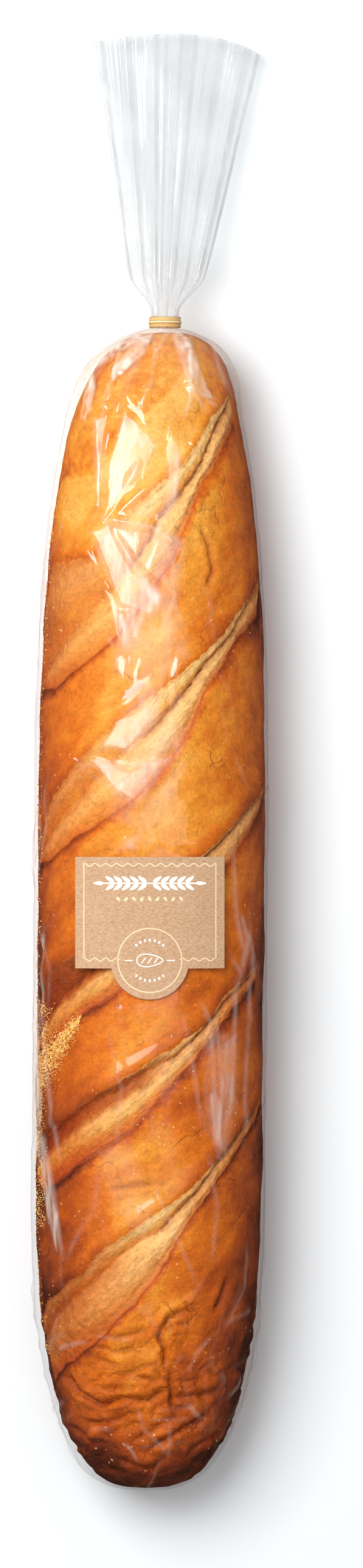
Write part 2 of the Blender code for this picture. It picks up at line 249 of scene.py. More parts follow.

# Panes where the film is stretched flat, as outlines in millimetres from above, each with
# its haze, a painted sheen, and how brightly it mirrors the light
PANES = (
    (((-8, 131), (2, 120.5), (-5, 107.5), (-14, 98), (-13.5, 112.5)), 0.40, 0.80),
    (((-19, 86.5), (-16, 87.5), (4, 62), (1.5, 56), (-9, 60.5)), 0.34, 0.60),
    (((-13, 60.5), (-1, 56.5), (-6.5, 40), (-10.5, 47.5)), 0.30, 0.55),
    (((9.5, 120.5), (11.5, 117.5), (10, 100.5), (4, 88.5), (5.5, 100.5)), 0.34, 0.30),
    (((5, 34), (-4, 23), (-15, 5.5), (-7.5, 4), (2, 16)), 0.32, 0.50),
    (((-26, -1.5), (6.5, -0.5), (1.5, -7.5), (-6.5, -17.5), (-11.5, -11)), 0.30, 0.48),
    (((-12, -35), (-4, -29), (-5, -35)), 0.40, 0.60),
    (((-19, 130), (-18, 130), (-17, 98), (-18.5, 98)), 0.25, 1.00),
    (((-16, 92), (4, 88), (13, 83), (11, 62), (6, 54), (-4, 70)), 0.26, 0.0),
    (((-12, 54), (2, 62), (13, 56), (14, 40), (2, 30), (-12, 34)), 0.14, 0.0),
    (((-10, 2), (4, 20), (14, 12), (10, -12), (0, -28), (-14, -22)), 0.12, 0.0),
    (((22, -105), (33, -106), (33, -129), (28, -150), (22, -141)), 0.16, 0.0),
    (((-18, -150), (-8, -146), (2, -170), (-2, -182), (-12, -172)), 0.10, 0.0),
)
PANE_LIFT, PANE_RIM = 0.0050, 0.0060

# Veils where the film lies in folds, and painted reflections along its left edge: outline and haze
VEILS = (
    (((0.5, 165.5), (-18.5, 155.5), (-27, 147), (-29.5, 140.5), (-23, 146), (-13, 154), (-2, 161.5)), 0.45),
    (((2.5, 165), (-3.5, 160.5), (-12, 150), (-13, 145), (-7.5, 149.5), (-0.5, 156.5)), 0.42),
    (
        (
            (8.5, 165.5), (13, 162.5), (17.5, 152.5), (21.5, 143),
            (25, 138), (19, 139.5), (14.5, 147.5), (11, 159),
        ),
        0.38,
    ),
    (((17.5, 165.5), (25, 160.5), (29, 152.5), (27, 152.5), (22.5, 158)), 0.30),
    (((-22, 152.5), (-18.5, 153), (-19, 143), (-22, 131), (-25, 131), (-23, 143)), 0.32),
    (((23.5, -128), (25.5, -126), (27.5, -134.5), (26.5, -153), (25, -153)), 0.22),
    (((27.5, -109.5), (32, -106), (31, -120.5), (28.5, -129.5)), 0.18),
    (((-45, -73.5), (-42, -73.5), (-40.5, -129.5), (-41, -141.5), (-45, -141)), 0.42),
    (((-44, -141.5), (-40, -143), (-33.5, -174.5), (-34.5, -188.5), (-39.5, -167.5)), 0.42),
)

# Creases scattered over the unrolled bag: how many, seed, lowest and highest place, range of
# lengths, widths and heights, and how far they turn
LOOSE_CREASES = (110, 5, -278, 150, (14, 60), (1.2, 3.2), (0.2, 0.7), 0.35)
END_CREASES = (90, 8, -282, -205, (6, 26), (1.5, 4.0), (0.4, 1.3), 1.2)
CREASE_SLACK = 0.0011

# Bag: its mean radius and half its girth in millimetres, the share of its length at which
# it is split in two, the length of its neck as a share, and the neck's radius
UNROLL_RADIUS, HALF_GIRTH = 42, 132
BAG_SPLIT, NECK_SHARE = 0.70, 0.02
NECK_RADIUS = 0.0049

# How far the film stands off over the cuts' lips, in its waves, in the pleats of its
# shoulder, and at the least
LIP_LIFT, WAVE_LIFT, PLEAT_LIFT, LEAST_LIFT = 0.0013, 0.00040, 0.0006, 0.00015

# Tail
TAIL_START_Y, TAIL_START_HALF = TIE_HIGH.y - 0.0002, 0.0050
TAIL_LENGTH = BAG_HIGH.y - TAIL_START_Y
TAIL_FLARE, TAIL_FLARE_LENGTH, TAIL_SPREAD = 0.0072, 0.005, 0.19
TAIL_LEAN, TAIL_REST_Z = 0.052, 0.0070
MOUTH_DROP_LEFT, MOUTH_DROP_RIGHT = 0.0033, 0.0086

# Tie
TIE_INNER = 0.0054
RIDGE_HEIGHT, RIDGE_HALF_WIDTH = 0.0004, 0.0007

# Label, from the CAD node's box, and the lines printed on it
LABEL_X = (LABEL_LOW.x + LABEL_HIGH.x) / 2
LABEL_TOP_Y, LABEL_BOTTOM_Y = LABEL_HIGH.y, LABEL_HIGH.y - 0.0425
LABEL_HALF_WIDTH = (LABEL_HIGH.x - LABEL_LOW.x) / 2
TAB_RADIUS = 0.0149
TAB_Y = LABEL_LOW.y + TAB_RADIUS
LABEL_LIFT, LABEL_THICKNESS, PRINT_LIFT = 0.0006, 0.0003, 0.00093
LABEL_STRIPS, LABEL_FLATNESS = 56, 0.86
THIN_LINE, LINE, BOLD_LINE = 0.0004, 0.00042, 0.00045
BORDER_HALF_WIDTH, BORDER_WAVES, BORDER_SWING = 0.0252, 12, 0.00055
RING_RADIUS, DOT_RADIUS = 0.0122, 0.0078


def tone(red, green, blue):
    """A colour as a screen shows it, from 0 to 255, as the linear value that a material takes."""
    shown = (red / 255, green / 255, blue / 255)
    return tuple(((value + 0.055) / 1.055) ** 2.4 if value > 0.04 else value / 12.92 for value in shown)


def colour_setting(name, description, *shown):
    looks = {"subtype": "COLOR", "size": 3, "min": 0, "max": 1}
    return FloatVectorProperty(name=name, description=description, default=tone(*shown), **looks)


def number_setting(name, description, default, **limits):
    return FloatProperty(name=name, description=description, default=default, min=0, **limits)


def length_setting(name, description, default):
    return number_setting(name, description, default, subtype="DISTANCE", unit="LENGTH")


def power_setting(name, description, default):
    return number_setting(name, description, default, unit="POWER")


class LoafSettings(bpy.types.PropertyGroup):
    half_width: length_setting("Half width", "Half the loaf's width at its middle", 0.0436)
    height: length_setting("Height", "Height of the crown at the middle", 0.0652)
    lumps: length_setting("Lumps", "How far the crust swells in and out", 0.0007)
    pale: colour_setting("Pale crust", "Crust that browned least", 244, 182, 88)
    gold: colour_setting("Gold crust", "Lightly browned crust", 232, 148, 42)
    amber: colour_setting("Amber crust", "Most of the crust", 213, 108, 12)
    brown: colour_setting("Brown crust", "Well browned crust", 178, 77, 4)
    umber: colour_setting("Umber crust", "Crust at the sides and the base end", 132, 50, 4)
    char: colour_setting("Dark crust", "The darkest crust", 82, 29, 3)
    flap: colour_setting("Torn flap", "Pale dough where a cut tore open", 250, 194, 118)
    crumb: colour_setting("Torn crumb", "Grainy dough along a crack", 240, 168, 80)
    # Painted shade at the bottom of a crack.
    crack: colour_setting("Crack", "Bottom of a crack", 82, 40, 16)


class BagSettings(bpy.types.PropertyGroup):
    slack: length_setting("Slack", "How far the film's creases stand up", CREASE_SLACK)
    pleat_height: length_setting("Pleat height", "Height of the tail's pleats", 0.0019)
    # Haze scales the milky folds and the painted sheen, reflections and glints alike.
    haze: number_setting("Haze", "How milky the folds are", 1.0, max=3)
    gloss: number_setting("Gloss", "Strength of the film's reflections", 1.0, max=4)
    tint: colour_setting("Film", "Colour of the film's haze", 254, 240, 226)
    tail_tint: colour_setting("Tail film", "Colour of the gathered tail's haze", 219, 220, 222)


class TrimSettings(bpy.types.PropertyGroup):
    kraft: colour_setting("Kraft", "Label paper", 208, 174, 142)
    fibre: colour_setting("Kraft fibre", "Darker fibres in the label paper", 176, 134, 98)
    white_ink: colour_setting("White print", "White ornament on the label", 250, 244, 234)
    pale_ink: colour_setting("Pale print", "Tan ornament on the label", 246, 214, 176)
    tie_tan: colour_setting("Tie paper", "Paper of the tie", 222, 186, 122)
    # Darker paper fibres, and the painted shade beside the tie's ridge and at its edges.
    tie_brown_and_shade: colour_setting("Tie edge", "Darker lines along the tie", 168, 122, 60)
    semolina: colour_setting("Semolina", "Loose toasted grains", 255, 214, 126)
    grain_count: IntProperty(name="Grains", description="Number of loose grains", default=4200, min=0)
    grain_size: length_setting("Grain size", "Mean radius of a grain", 0.00026)


class StageSettings(bpy.types.PropertyGroup):
    view_height: length_setting("View height", "Length of floor that the picture shows", 0.6054)
    key_power: power_setting("Key", "Power of the softbox", 12.5)
    glint_power: power_setting("Glints", "Power of the panel that the film mirrors", 9.5)
    canopy_power: power_setting("Canopy", "Power of the broad panel that is mirrored", 2.2)
    fill: number_setting("Fill", "Strength of the even light from all round", 0.52)
    floor: colour_setting("Floor", "Colour of the floor", 242, 246, 249)


SETTINGS = {
    "loaf": LoafSettings,
    "bag": BagSettings,
    "trim": TrimSettings,
    "stage": StageSettings,
}


# Semolina grains: their three radii to one another, and the range of their sizes
GRAIN_SHAPE, GRAIN_SIZES = (1.0, 0.75, 0.6), (0.6, 1.5)

# Camera, lights, and the height that the lights point at
CAMERA_PLACE, WIDEST_Z = Vector((0.0127, -0.0094, 3.0)), 0.026
LIGHT_AIM = Vector((0, 0, 0.03))
KEY_COLOUR, GLINT_COLOUR = (1.0, 0.99, 0.97), (0.82, 0.93, 1.0)
KEY_PLACE, KEY_SIZE = Vector((-0.40, 0.27, 1.0)), (0.70, 0.70)
GLINT_PLACE, GLINT_SIZE = Vector((-0.42, 0.40, 1.0)), (0.40, 0.44)
CANOPY_PLACE, CANOPY_SIZE = Vector((0.12, 0.10, 1.2)), (0.80, 0.44)

# Tables of the noise
NOISE_DRAW = np.random.default_rng(7)
NOISE_ORDER = np.tile(NOISE_DRAW.permutation(256), 2)
NOISE_SLOPES = NOISE_DRAW.normal(size=(256, 3))
NOISE_SLOPES /= np.linalg.norm(NOISE_SLOPES, axis=1, keepdims=True)


def settings(name):
    return getattr(bpy.context.scene, "loaf_" + name)


# Numbers over whole meshes


def mix(a, b, share):
    return a + (b - a) * share


def smooth_step(low, high, value):
    share = np.clip((value - low) / (high - low), 0, 1)
    return share * share * (3 - 2 * share)


def hump(value, centre, width):
    return np.exp(-(((value - centre) / width) ** 2))


def power(value, exponent):
    return np.sign(value) * np.abs(value) ** exponent


def metres(line):
    """The points of a line that is given in millimetres."""
    return [(x / 1000, y / 1000) for x, y in line]


def smooth_noise(points):
    """Smooth noise from about -1 to 1 at each point, with lumps about 1 across."""
    cell = np.floor(points).astype(int)
    inside = points - cell
    ease = inside**3 * (inside * (inside * 6 - 15) + 10)
    total = np.zeros(len(points))
    for corner in itertools.product((0, 1), repeat=3):
        x, y, z = ((cell + corner) & 255).T
        slope = NOISE_SLOPES[NOISE_ORDER[NOISE_ORDER[NOISE_ORDER[x] + y] + z]]
        weight = np.prod(np.where(corner, ease, 1 - ease), axis=1)
        total += weight * np.sum(slope * (inside - corner), axis=1)
    return 1.5 * total


def lumps_at(points, size, octaves=1):
    """Noise at each point, with lumps of the given size and finer ones over them."""
    return sum(smooth_noise(points / size * 2**i + 17.3 * i) / 2**i for i in range(octaves))


def distance_to_line(x, y, line):
    """Distance of each point from a line of several pieces, and its place along it from 0 to 1."""
    nearest = np.full(len(x), 1.0)
    place = np.zeros(len(x))
    count = len(line) - 1
    for i in range(count):
        (ax, ay), (bx, by) = line[i], line[i + 1]
        span = max((bx - ax) ** 2 + (by - ay) ** 2, 1e-12)
        share = np.clip(((x - ax) * (bx - ax) + (y - ay) * (by - ay)) / span, 0, 1)
        distance = np.hypot(x - mix(ax, bx, share), y - mix(ay, by, share))
        closer = distance < nearest
        nearest = np.where(closer, distance, nearest)
        place = np.where(closer, (i + share) / count, place)
    return nearest, place


class Body:
    """A long rounded body that lies along Y on the floor: the loaf, or the bag round it."""

    def __init__(self, ends, half_width, height, base_shape, shift, floor, drawn_in):
        self.base_y, self.end_y = ends
        self.half_width, self.height = half_width, height
        self.base_taper, self.base_fullness = base_shape
        self.shift, self.floor, self.drawn_in = shift, floor, drawn_in

    def share(self, y):
        """Share of the full width at each place along the body."""
        neck = 1 - np.clip((self.end_y - y) / NECK_TAPER, 0, 1)
        base = 1 - np.clip((y - self.base_y) / self.base_taper, 0, 1)
        drawn_in = 1 - self.drawn_in * np.exp((y - self.end_y) / NECK_CLOSING)
        return drawn_in * (1 - neck**2) ** (1 / NECK_FULLNESS) * (1 - base**2) ** (1 / self.base_fullness)

    def centre(self, y):
        along = (y - BAG_LOW.y) / (SHOULDER_Y - BAG_LOW.y)
        drift = NECK_DRIFT * smooth_step(NECK_DRIFT_Y, SHOULDER_Y, y)
        return CENTRE_X + self.shift + LEAN * (along - LEAN_PIVOT) + drift

    def crown(self, y):
        middle = 1 - CROWN_FALL * ((y - BODY_MIDDLE_Y) / CROWN_REACH) ** 2
        return mix(NECK.z, self.height * middle, self.share(y) ** 1.15)

    def turn_at(self, x, y, most):
        """Turn from the crown of points seen from above, held short of the sides."""
        return np.arcsin(np.clip((x - self.centre(y)) / (self.half_width * self.share(y)), -most, most))

    def surface(self, y, angle):
        """Points of the smooth surface, the turn from the crown of each, and the way out."""
        share, top = self.share(y), self.crown(y)
        widest = mix(NECK.z, WIDEST_SHARE * top, share)
        upper = np.sin(angle) > 0
        bulge = np.where(upper, 2 / CROWN_POWER, 2 / UNDER_POWER)
        across, up = power(np.cos(angle), bulge), power(np.sin(angle), bulge)
        rise = np.where(upper, top - widest, (1 + BASE_DIP) * widest * share**UNDER_LIFT)
        x = self.centre(y) + self.half_width * share * across
        points = np.stack([x, y, widest + rise * up], axis=1)
        axis = np.stack([self.centre(y), y, 0.5 * top], axis=1)
        outward = points - axis
        outward /= np.maximum(np.linalg.norm(outward, axis=1, keepdims=True), 1e-9)
        return points, np.arcsin(np.clip(across, -1, 1)), outward

    def stations(self, share):
        """Places along the body for shares from 0 to 1, closer together at both ends."""
        return mix(self.base_y, self.end_y, mix(share, 0.5 - 0.5 * np.cos(np.pi * share), 0.35))


def loaf_body():
    loaf = settings("loaf")
    ends, base_shape = (-0.2811, 0.1650), (0.108, 2.86)
    return Body(ends, loaf.half_width, loaf.height, base_shape, shift=0.0007, floor=0.0008, drawn_in=0.2)


def bag_body():
    ends, base_shape = (BAG_LOW.y + 0.0003, SHOULDER_Y), (0.106, 2.92)
    return Body(ends, BAG_HALF_WIDTH, BAG_HEIGHT, base_shape, shift=0.0004, floor=0.0002, drawn_in=0.6)


def cut_edge(body, line):
    """An edge of a cut as turns from the crown, in rising order, and places along the loaf."""
    x, y = np.array(metres(line)).T
    return body.turn_at(x, y, 0.97)[::-1], y[::-1]


def edge_at(turn, edge, ends):
    """Place of an edge at each turn, with both ends drawn out to where the cut closes."""
    (left_turn, left_y), (right_turn, right_y) = ends
    turns = np.concatenate([[left_turn], edge[0], [right_turn]])
    return np.interp(turn, turns, np.concatenate([[left_y], edge[1], [right_y]]))


def cut_edges(body, turn, lines):
    """Places of a cut's three edges at each turn, and how far each point is from the cut's ends."""
    turns, ys = cut_edge(body, lines[1])
    slope = (ys[1] - ys[0]) / (turns[1] - turns[0])
    left = (CUT_END_TURN, ys[0] + slope * (CUT_END_TURN - turns[0]))
    right = (turns[-1] + 0.10, ys[-1] + 0.004)
    high, middle, low = (edge_at(turn, cut_edge(body, line), (left, right)) for line in lines)
    inside = smooth_step(CUT_END_TURN, CUT_END_TURN + 0.15, turn)
    return high, middle, low, inside * smooth_step(right[0], right[0] - 0.08, turn)


def cut_field(body, turn, y):
    """What every point is to the cuts around it.

    The place rises by 2 from one cut to the next: from 0 to 1 across a cut, with the
    crack at CRACK_PLACE, and from 1 to 2 across the crust below it.
    """
    place, last_low = np.full(len(y), -0.95), None
    shown, brown, opening, torn = (np.zeros(len(y)) for _ in range(4))
    gap = np.full(len(y), FAR_GAP)
    for i, (*lines, (browning_and_shade, brown_turn, fade_turn, tear)) in enumerate(CUTS):
        high, middle, low, inside = cut_edges(body, turn, lines)
        above, below = np.maximum(high - middle, 0.0005), np.maximum(middle - low, 0.0010)
        wide = (above + below) / WIDE_CUT
        down = middle - y
        reached = down >= -above
        if i == 0:
            place = np.clip((down + above) / OUTER_CRUST, -0.95, 0)
            shown, opening = inside, wide
        else:
            ahead = np.maximum(-down - above, 1e-5)
            past = np.maximum(last_low - y, 0)
            crust = past / (past + ahead)
            between = (last_low > y) & ~reached
            place = np.where(between, 2 * i - 1 + crust, place)
            near = between & (crust > 0.5)
            shown = np.where(near, inside, shown)
            opening = np.where(near, wide, opening)
        lower = CRACK_PLACE + (1 - CRACK_PLACE) * down / below
        across = np.where(down < 0, CRACK_PLACE * (1 + down / above), lower)
        place = np.where(reached & (down < below), 2 * i + across, place)
        shown = np.where(reached, inside, shown)
        opening = np.where(reached, wide, opening)
        baked = browning_and_shade * smooth_step(brown_turn + 0.25, brown_turn - 0.25, turn)
        brown = np.where(reached, baked, brown)
        tears = mix(1, tear, smooth_step(brown_turn + 0.35, brown_turn - 0.25, turn))
        torn = np.where(reached, tears, torn)
        # Where the crack's painted shade shows, fading past its turn.
        dark = smooth_step(fade_turn - 0.30, fade_turn + 0.15, turn) * inside
        gap = np.minimum(gap, np.abs(down) * 0.7 + FAR_GAP * (1 - dark))
        last_low = low
    beyond = 2 * len(CUTS) - 1 + np.clip((last_low - y) / OUTER_CRUST, 0, 0.95)
    place = np.where(y < last_low, beyond, place)
    return {"place": place, "shown": shown, "brown": brown, "opening": opening, "gap": gap, "torn": torn}


def cut_relief(cuts):
    steps, heights = zip(*CUT_PROFILE)
    relief = np.interp(np.mod(cuts["place"], 2), steps, heights)
    return relief * cuts["shown"] * np.clip(0.25 + 0.75 * cuts["opening"], 0.3, 1.1)


def base_creases():
    """Short creases over the base end, most of them across it and thickest at its tip."""
    draw = np.random.default_rng(21)
    creases = []
    for _ in range(46):
        x, y = draw.uniform(-38, 38), -281 + 70 * draw.uniform(0, 1) ** 1.7
        length, heading, bend = draw.uniform(7, 19), draw.normal(0.15, 0.40), draw.uniform(-2.0, 2.0)
        dx, dy = math.cos(heading) * length / 2, math.sin(heading) * length / 2
        line = ((x - dx, y - dy), (x, y + bend), (x + dx, y + dy))
        creases.append((line, draw.uniform(0.35, 1.0)))
    return tuple(creases)


def crack_field(points):
    """Depth of the cracks at each point, and the distance from the nearest."""
    depth = np.zeros(len(points))
    nearest = np.full(len(points), FAR_GAP)
    for line, deep in BASE_CRACKS + base_creases():
        distance, along = distance_to_line(points[:, 0], points[:, 1], metres(line))
        ends = smooth_step(0, 0.12, along) * (1 - smooth_step(0.85, 1, along)) * 0.8 + 0.2
        lip = 0.40 * hump(distance, 0.0026, 0.0014)
        depth += deep / 1000 * ends * (lip - hump(distance, 0, 0.0009))
        nearest = np.minimum(nearest, distance + 0.0006 * (1 - ends) + 0.0005 * max(0, 1.4 - deep))
    return depth, nearest


# Meshes


def shaped_tube(name, counts, place):
    """A grid rolled into a tube along the object, placed by a function of its two shares.
    """
    share = 1.0
    around, along = (int(count * share) for count in counts)
    grid = bmesh.new()
    bmesh.ops.create_grid(grid, x_segments=around, y_segments=along, size=0.5)
    data = bpy.data.meshes.new(name)
    grid.to_mesh(data)
    grid.free()
    flat = np.empty(len(data.vertices) * 3, np.float32)
    data.vertices.foreach_get("co", flat)
    flat = flat.reshape(-1, 3).astype(np.float64)
    points, masks = place(flat[:, 0] + 0.5, flat[:, 1] + 0.5)
    data.vertices.foreach_set("co", points.astype(np.float32).ravel())
    for mask, values in masks.items():
        layer = data.attributes.new(mask, "FLOAT", "POINT")
        layer.data.foreach_set("value", values.astype(np.float32))
    merged = bmesh.new()
    merged.from_mesh(data)
    bmesh.ops.remove_doubles(merged, verts=merged.verts, dist=2e-6)
    bmesh.ops.recalc_face_normals(merged, faces=merged.faces)
    merged.to_mesh(data)
    merged.free()
    data.shade_smooth()
    return shown_object(name, data)


def shown_object(name, data):
    obj = bpy.data.objects.new(name, data)
    bpy.context.scene.collection.objects.link(obj)
    return obj


def object_from(mesh, name, smooth=True):
    data = bpy.data.meshes.new(name)
    mesh.to_mesh(data)
    mesh.free()
    if smooth:
        data.shade_smooth()
    return shown_object(name, data)


def add_piece(obj, material, slot, *nodes):
    """Gives the finished piece its material, hangs it under the root and hides the CAD nodes given."""
    obj.data.materials.append(material)
    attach(obj, "root")
    if nodes:
        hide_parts(*nodes)


# Materials


class Finish:
    """A material under construction, with short calls for its nodes."""

    def __init__(self, name):
        self.material = bpy.data.materials.new(name)
        self.material.use_nodes = True
        self.tree = self.material.node_tree
        self.tree.nodes.clear()
        self.place = self.add("TexCoord").outputs["Object"]

    def add(self, kind, inputs=None, **settings):
        made = self.tree.nodes.new("ShaderNode" + kind)
        for name, value in settings.items():
            setattr(made, name, value)
        for key, value in (inputs or {}).items():
            if isinstance(value, bpy.types.NodeSocket):
                self.tree.links.new(value, made.inputs[key])
            else:
                made.inputs[key].default_value = value
        return made

    def attribute(self, name):
        return self.add("Attribute", attribute_name=name).outputs["Fac"]

    def math(self, operation, first, second=0.0, third=0.0):
        inputs = {0: first, 1: second, 2: third}
        return self.add("Math", inputs, operation=operation).outputs[0]

    def times(self, first, second):
        return self.math("MULTIPLY", first, second)

    def plus(self, first, second):
        return self.math("ADD", first, second)

    def scaled(self, value, factor, offset):
        return self.math("MULTIPLY_ADD", value, factor, offset)

    def minus(self, first, second):
        return self.math("SUBTRACT", first, second)

    def clamp(self, value):
        return self.add("Clamp", {0: value}).outputs[0]

    def noise(self, size, detail=3.0, roughness=0.55, stretch=(1, 1, 1), turn=0.0):
        """Noise with features about the given size in metres, drawn out along its turned axes."""
        inputs = {"Vector": self.place, "Rotation": (0, 0, turn), "Scale": stretch}
        place = self.add("Mapping", inputs, vector_type="TEXTURE").outputs[0]
        inputs = {"Vector": place, "Scale": 1 / size, "Detail": detail, "Roughness": roughness}
        return self.add("TexNoise", inputs).outputs["Fac"]

    def cells(self, size, feature="F1"):
        """Cells of the given size, with their straight sides bent by noise."""
        inputs = {"Vector": self.place, "Scale": 1.2 / size, "Detail": 2.0}
        bent = self.add("TexNoise", inputs).outputs["Color"]
        offset = self.add("VectorMath", {0: bent, 1: (0.8 * size,) * 3}, operation="MULTIPLY").outputs[0]
        place = self.add("VectorMath", {0: self.place, 1: offset}, operation="ADD").outputs[0]
        inputs = {"Vector": place, "Scale": 1 / size}
        return self.add("TexVoronoi", inputs, feature=feature).outputs["Distance"]

    def between(self, value, low, high, least=0.0, most=1.0, smooth=True):
        inputs = {0: value, 1: low, 2: high, 3: least, 4: most}
        kind = "SMOOTHSTEP" if smooth else "LINEAR"
        return self.add("MapRange", inputs, interpolation_type=kind).outputs[0]

    def blend(self, share, first, second, kind="MIX"):
        inputs = {0: share, 6: solid(first), 7: solid(second)}
        return self.add("Mix", inputs, data_type="RGBA", blend_type=kind).outputs[2]

    def ramp(self, value, *stops):
        made = self.add("ValToRGB", {0: value})
        points = made.color_ramp.elements
        while len(points) < len(stops):
            points.new(1.0)
        for point, (position, colour) in zip(points, stops):
            point.position = position
            point.color = solid(colour)
        return made.outputs[0]

    def bump(self, height, distance, strength=1.0):
        return self.add("Bump", {"Height": height, "Distance": distance, "Strength": strength}).outputs[0]

    def output(self, surface):
        self.add("OutputMaterial", {"Surface": surface})
        return self.material

    def layered(self, share, first, second):
        return self.add("MixShader", {0: share, 1: first.outputs[0], 2: second.outputs[0]})

    def painted(self, colour, roughness, specular=0.5, **normal):
        """The finished material, with an even painted surface."""
        inputs = {"Base Color": colour, "Roughness": roughness, "Specular IOR Level": specular}
        return self.output(self.add("BsdfPrincipled", inputs | normal).outputs[0])


def solid(colour):
    """A colour of three numbers as the four that a node takes; a link stays as it is."""
    if isinstance(colour, bpy.types.NodeSocket):
        return colour
    if isinstance(colour, float):
        colour = (colour, colour, colour)
    return (*colour[:3], 1.0)


def baked_and_shaded_colours(finish, look, half, shown, mottle, broad):
    """Colours of the smooth crust by how far it is baked, with painted shade in the bake and darker lips
    along the cuts.
    """
    bake_and_shade = finish.plus(finish.attribute("bake_and_shade"), finish.scaled(mottle, 0.62, -0.31))
    bake_and_shade = finish.plus(bake_and_shade, finish.scaled(broad, 0.32, -0.16))
    # Darker lips along each cut: partly browner crust, partly painted shade under the lip.
    lips = ((0.0, 0.5), (0.03, 0.0), (0.49, 0.0), (0.508, 1.0), (0.56, 0.0), (0.93, 0.0), (1.0, 0.5))
    bake_and_shade = finish.scaled(finish.times(finish.ramp(half, *lips), shown), 0.34, bake_and_shade)
    return finish.ramp(
        bake_and_shade,
        (0.05, look.pale),
        (0.26, look.gold),
        (0.46, look.amber),
        (0.66, look.brown),
        (0.84, look.umber),
        (1.0, look.char),
    )


def torn_colours(finish, look, half, streaks):
    """Colours inside a cut: pale torn dough, or the wall that browned, with its grain and painted shade."""
    # Across the flap: darker at the crack, painted shade in it.
    flap = finish.ramp(
        half,
        (0.0, look.crumb),
        (0.035, tone(250, 206, 136)),
        (0.080, look.crumb),
        (0.120, tone(226, 142, 66)),
        (0.145, tone(250, 194, 122)),
        (0.185, look.flap),
        (0.30, tone(248, 190, 118)),
        (0.40, tone(240, 164, 84)),
        (0.49, tone(218, 126, 58)),
    )
    # Across the browned wall: darkest under the upper lip and at the lower edge, partly the wall's own
    # brown, partly painted shade of the lip.
    wall = finish.ramp(
        half,
        (0.0, tone(178, 96, 36)),
        (0.060, tone(158, 78, 22)),
        (0.125, tone(178, 92, 26)),
        (0.200, tone(196, 106, 34)),
        (0.235, tone(216, 146, 66)),
        (0.275, look.flap),
        (0.345, tone(248, 192, 104)),
        (0.40, tone(234, 146, 62)),
        (0.465, tone(212, 112, 44)),
        (0.49, tone(160, 72, 42)),
    )
    inside = finish.blend(finish.attribute("cut_brown"), flap, wall)
    grain = finish.ramp(streaks, (0.30, 0.74), (0.50, 1.0), (0.66, 1.16))
    inside = finish.blend(0.8, inside, grain, "MULTIPLY")
    # Darker where the bake is higher, which also carries the painted shade of the lower half.
    toasted = finish.between(finish.attribute("bake_and_shade"), 0.22, 0.74)
    return finish.blend(toasted, inside, tone(214, 160, 106), "MULTIPLY")


def peeled(finish, look, colour, cloud, ragged, fine):
    """A crust colour with darker blotches and two sizes of flakes."""
    blotch = finish.between(cloud, 0.52, 0.72, 0.0, 0.42)
    colour = finish.blend(blotch, colour, finish.blend(0.5, colour, look.umber))
    peel = finish.ramp(ragged, (0.28, 0.78), (0.50, 1.0), (0.72, 1.20))
    colour = finish.blend(0.55, colour, peel, "MULTIPLY")
    peel = finish.ramp(fine, (0.30, 0.80), (0.50, 0.98), (0.70, 1.14))
    return finish.blend(0.8, colour, peel, "MULTIPLY")


def hairline_share(finish, torn):
    """Where fine lines run over the worn crust, away from the cuts."""
    seam = finish.math("ABSOLUTE", finish.minus(finish.noise(0.016, 3, 0.5), 0.5))
    worn = finish.between(finish.noise(0.022, 2), 0.54, 0.66, 0.0, 0.5)
    worn = finish.clamp(finish.scaled(finish.attribute("base_end"), 0.3, worn))
    lines = finish.times(finish.between(seam, 0.001, 0.018, 1, 0), worn)
    return finish.times(lines, finish.minus(1.0, torn))


def cracked(finish, look, colour, ragged):
    """A crust colour that darkens towards the cracks, with painted shade in them."""
    gap = finish.plus(finish.attribute("crack_gap"), finish.scaled(ragged, 0.0012, -0.0006))
    colour = finish.blend(finish.between(gap, 0.0002, 0.0022, 0.40, 0), colour, look.umber)
    # Painted shade at the bottom of each crack.
    dark = finish.times(finish.between(gap, 0.0, 0.0005, 1, 0), 0.70)
    return finish.blend(dark, colour, look.crack)


def crust_material():
    look = settings("loaf")
    finish = Finish("baked crust")
    fine = finish.noise(0.0011, 4)
    ragged = finish.noise(0.0030, 4)
    cloud = finish.noise(0.0045, 5, 0.65)
    broad = finish.noise(0.040, 2)
    mottle = finish.noise(0.010, 5, 0.6, (1.9, 1.0, 1.0), 0.65)
    streaks = finish.noise(0.0016, 4, 0.6, (4.0, 1.0, 1.0), 0.75)

    jitter = finish.scaled(ragged, 0.09, -0.045)
    across = finish.math("WRAP", finish.plus(finish.attribute("cut_place"), jitter), 2.0, 0.0)
    half = finish.times(across, 0.5)
    shown = finish.attribute("cut_shown")
    in_cut = finish.ramp(half, (0.0, 0.6), (0.012, 1.0), (0.485, 1.0), (0.508, 0.0), (1.0, 0.0))
    torn = finish.times(finish.times(in_cut, shown), finish.attribute("cut_torn"))

    crust = baked_and_shaded_colours(finish, look, half, shown, mottle, broad)
    colour = finish.blend(torn, crust, torn_colours(finish, look, half, streaks))
    colour = peeled(finish, look, colour, cloud, ragged, fine)
    hairlines = hairline_share(finish, torn)
    colour = finish.blend(finish.times(hairlines, 0.40), colour, look.umber)
    # Tiny bright specks: painted glints on the crust.
    painted_glints = finish.between(finish.cells(0.0034), 0.09, 0.15, 1, 0)
    painted_glints = finish.times(painted_glints, finish.between(broad, 0.48, 0.60))
    colour = finish.blend(finish.times(painted_glints, 0.45), colour, tone(255, 226, 170))
    colour = cracked(finish, look, colour, ragged)

    scales = finish.between(finish.cells(0.010, "DISTANCE_TO_EDGE"), 0.0, 0.16)
    height = finish.scaled(fine, 0.26, finish.times(cloud, 0.45))
    height = finish.scaled(finish.times(torn, streaks), 0.8, height)
    height = finish.scaled(hairlines, -0.5, height)
    height = finish.scaled(finish.times(scales, finish.attribute("base_end")), 0.30, height)
    roughness = finish.between(mottle, 0.3, 0.7, 0.42, 0.62)
    return finish.painted(colour, roughness, 0.26, Normal=finish.bump(height, 0.0014, 0.85))


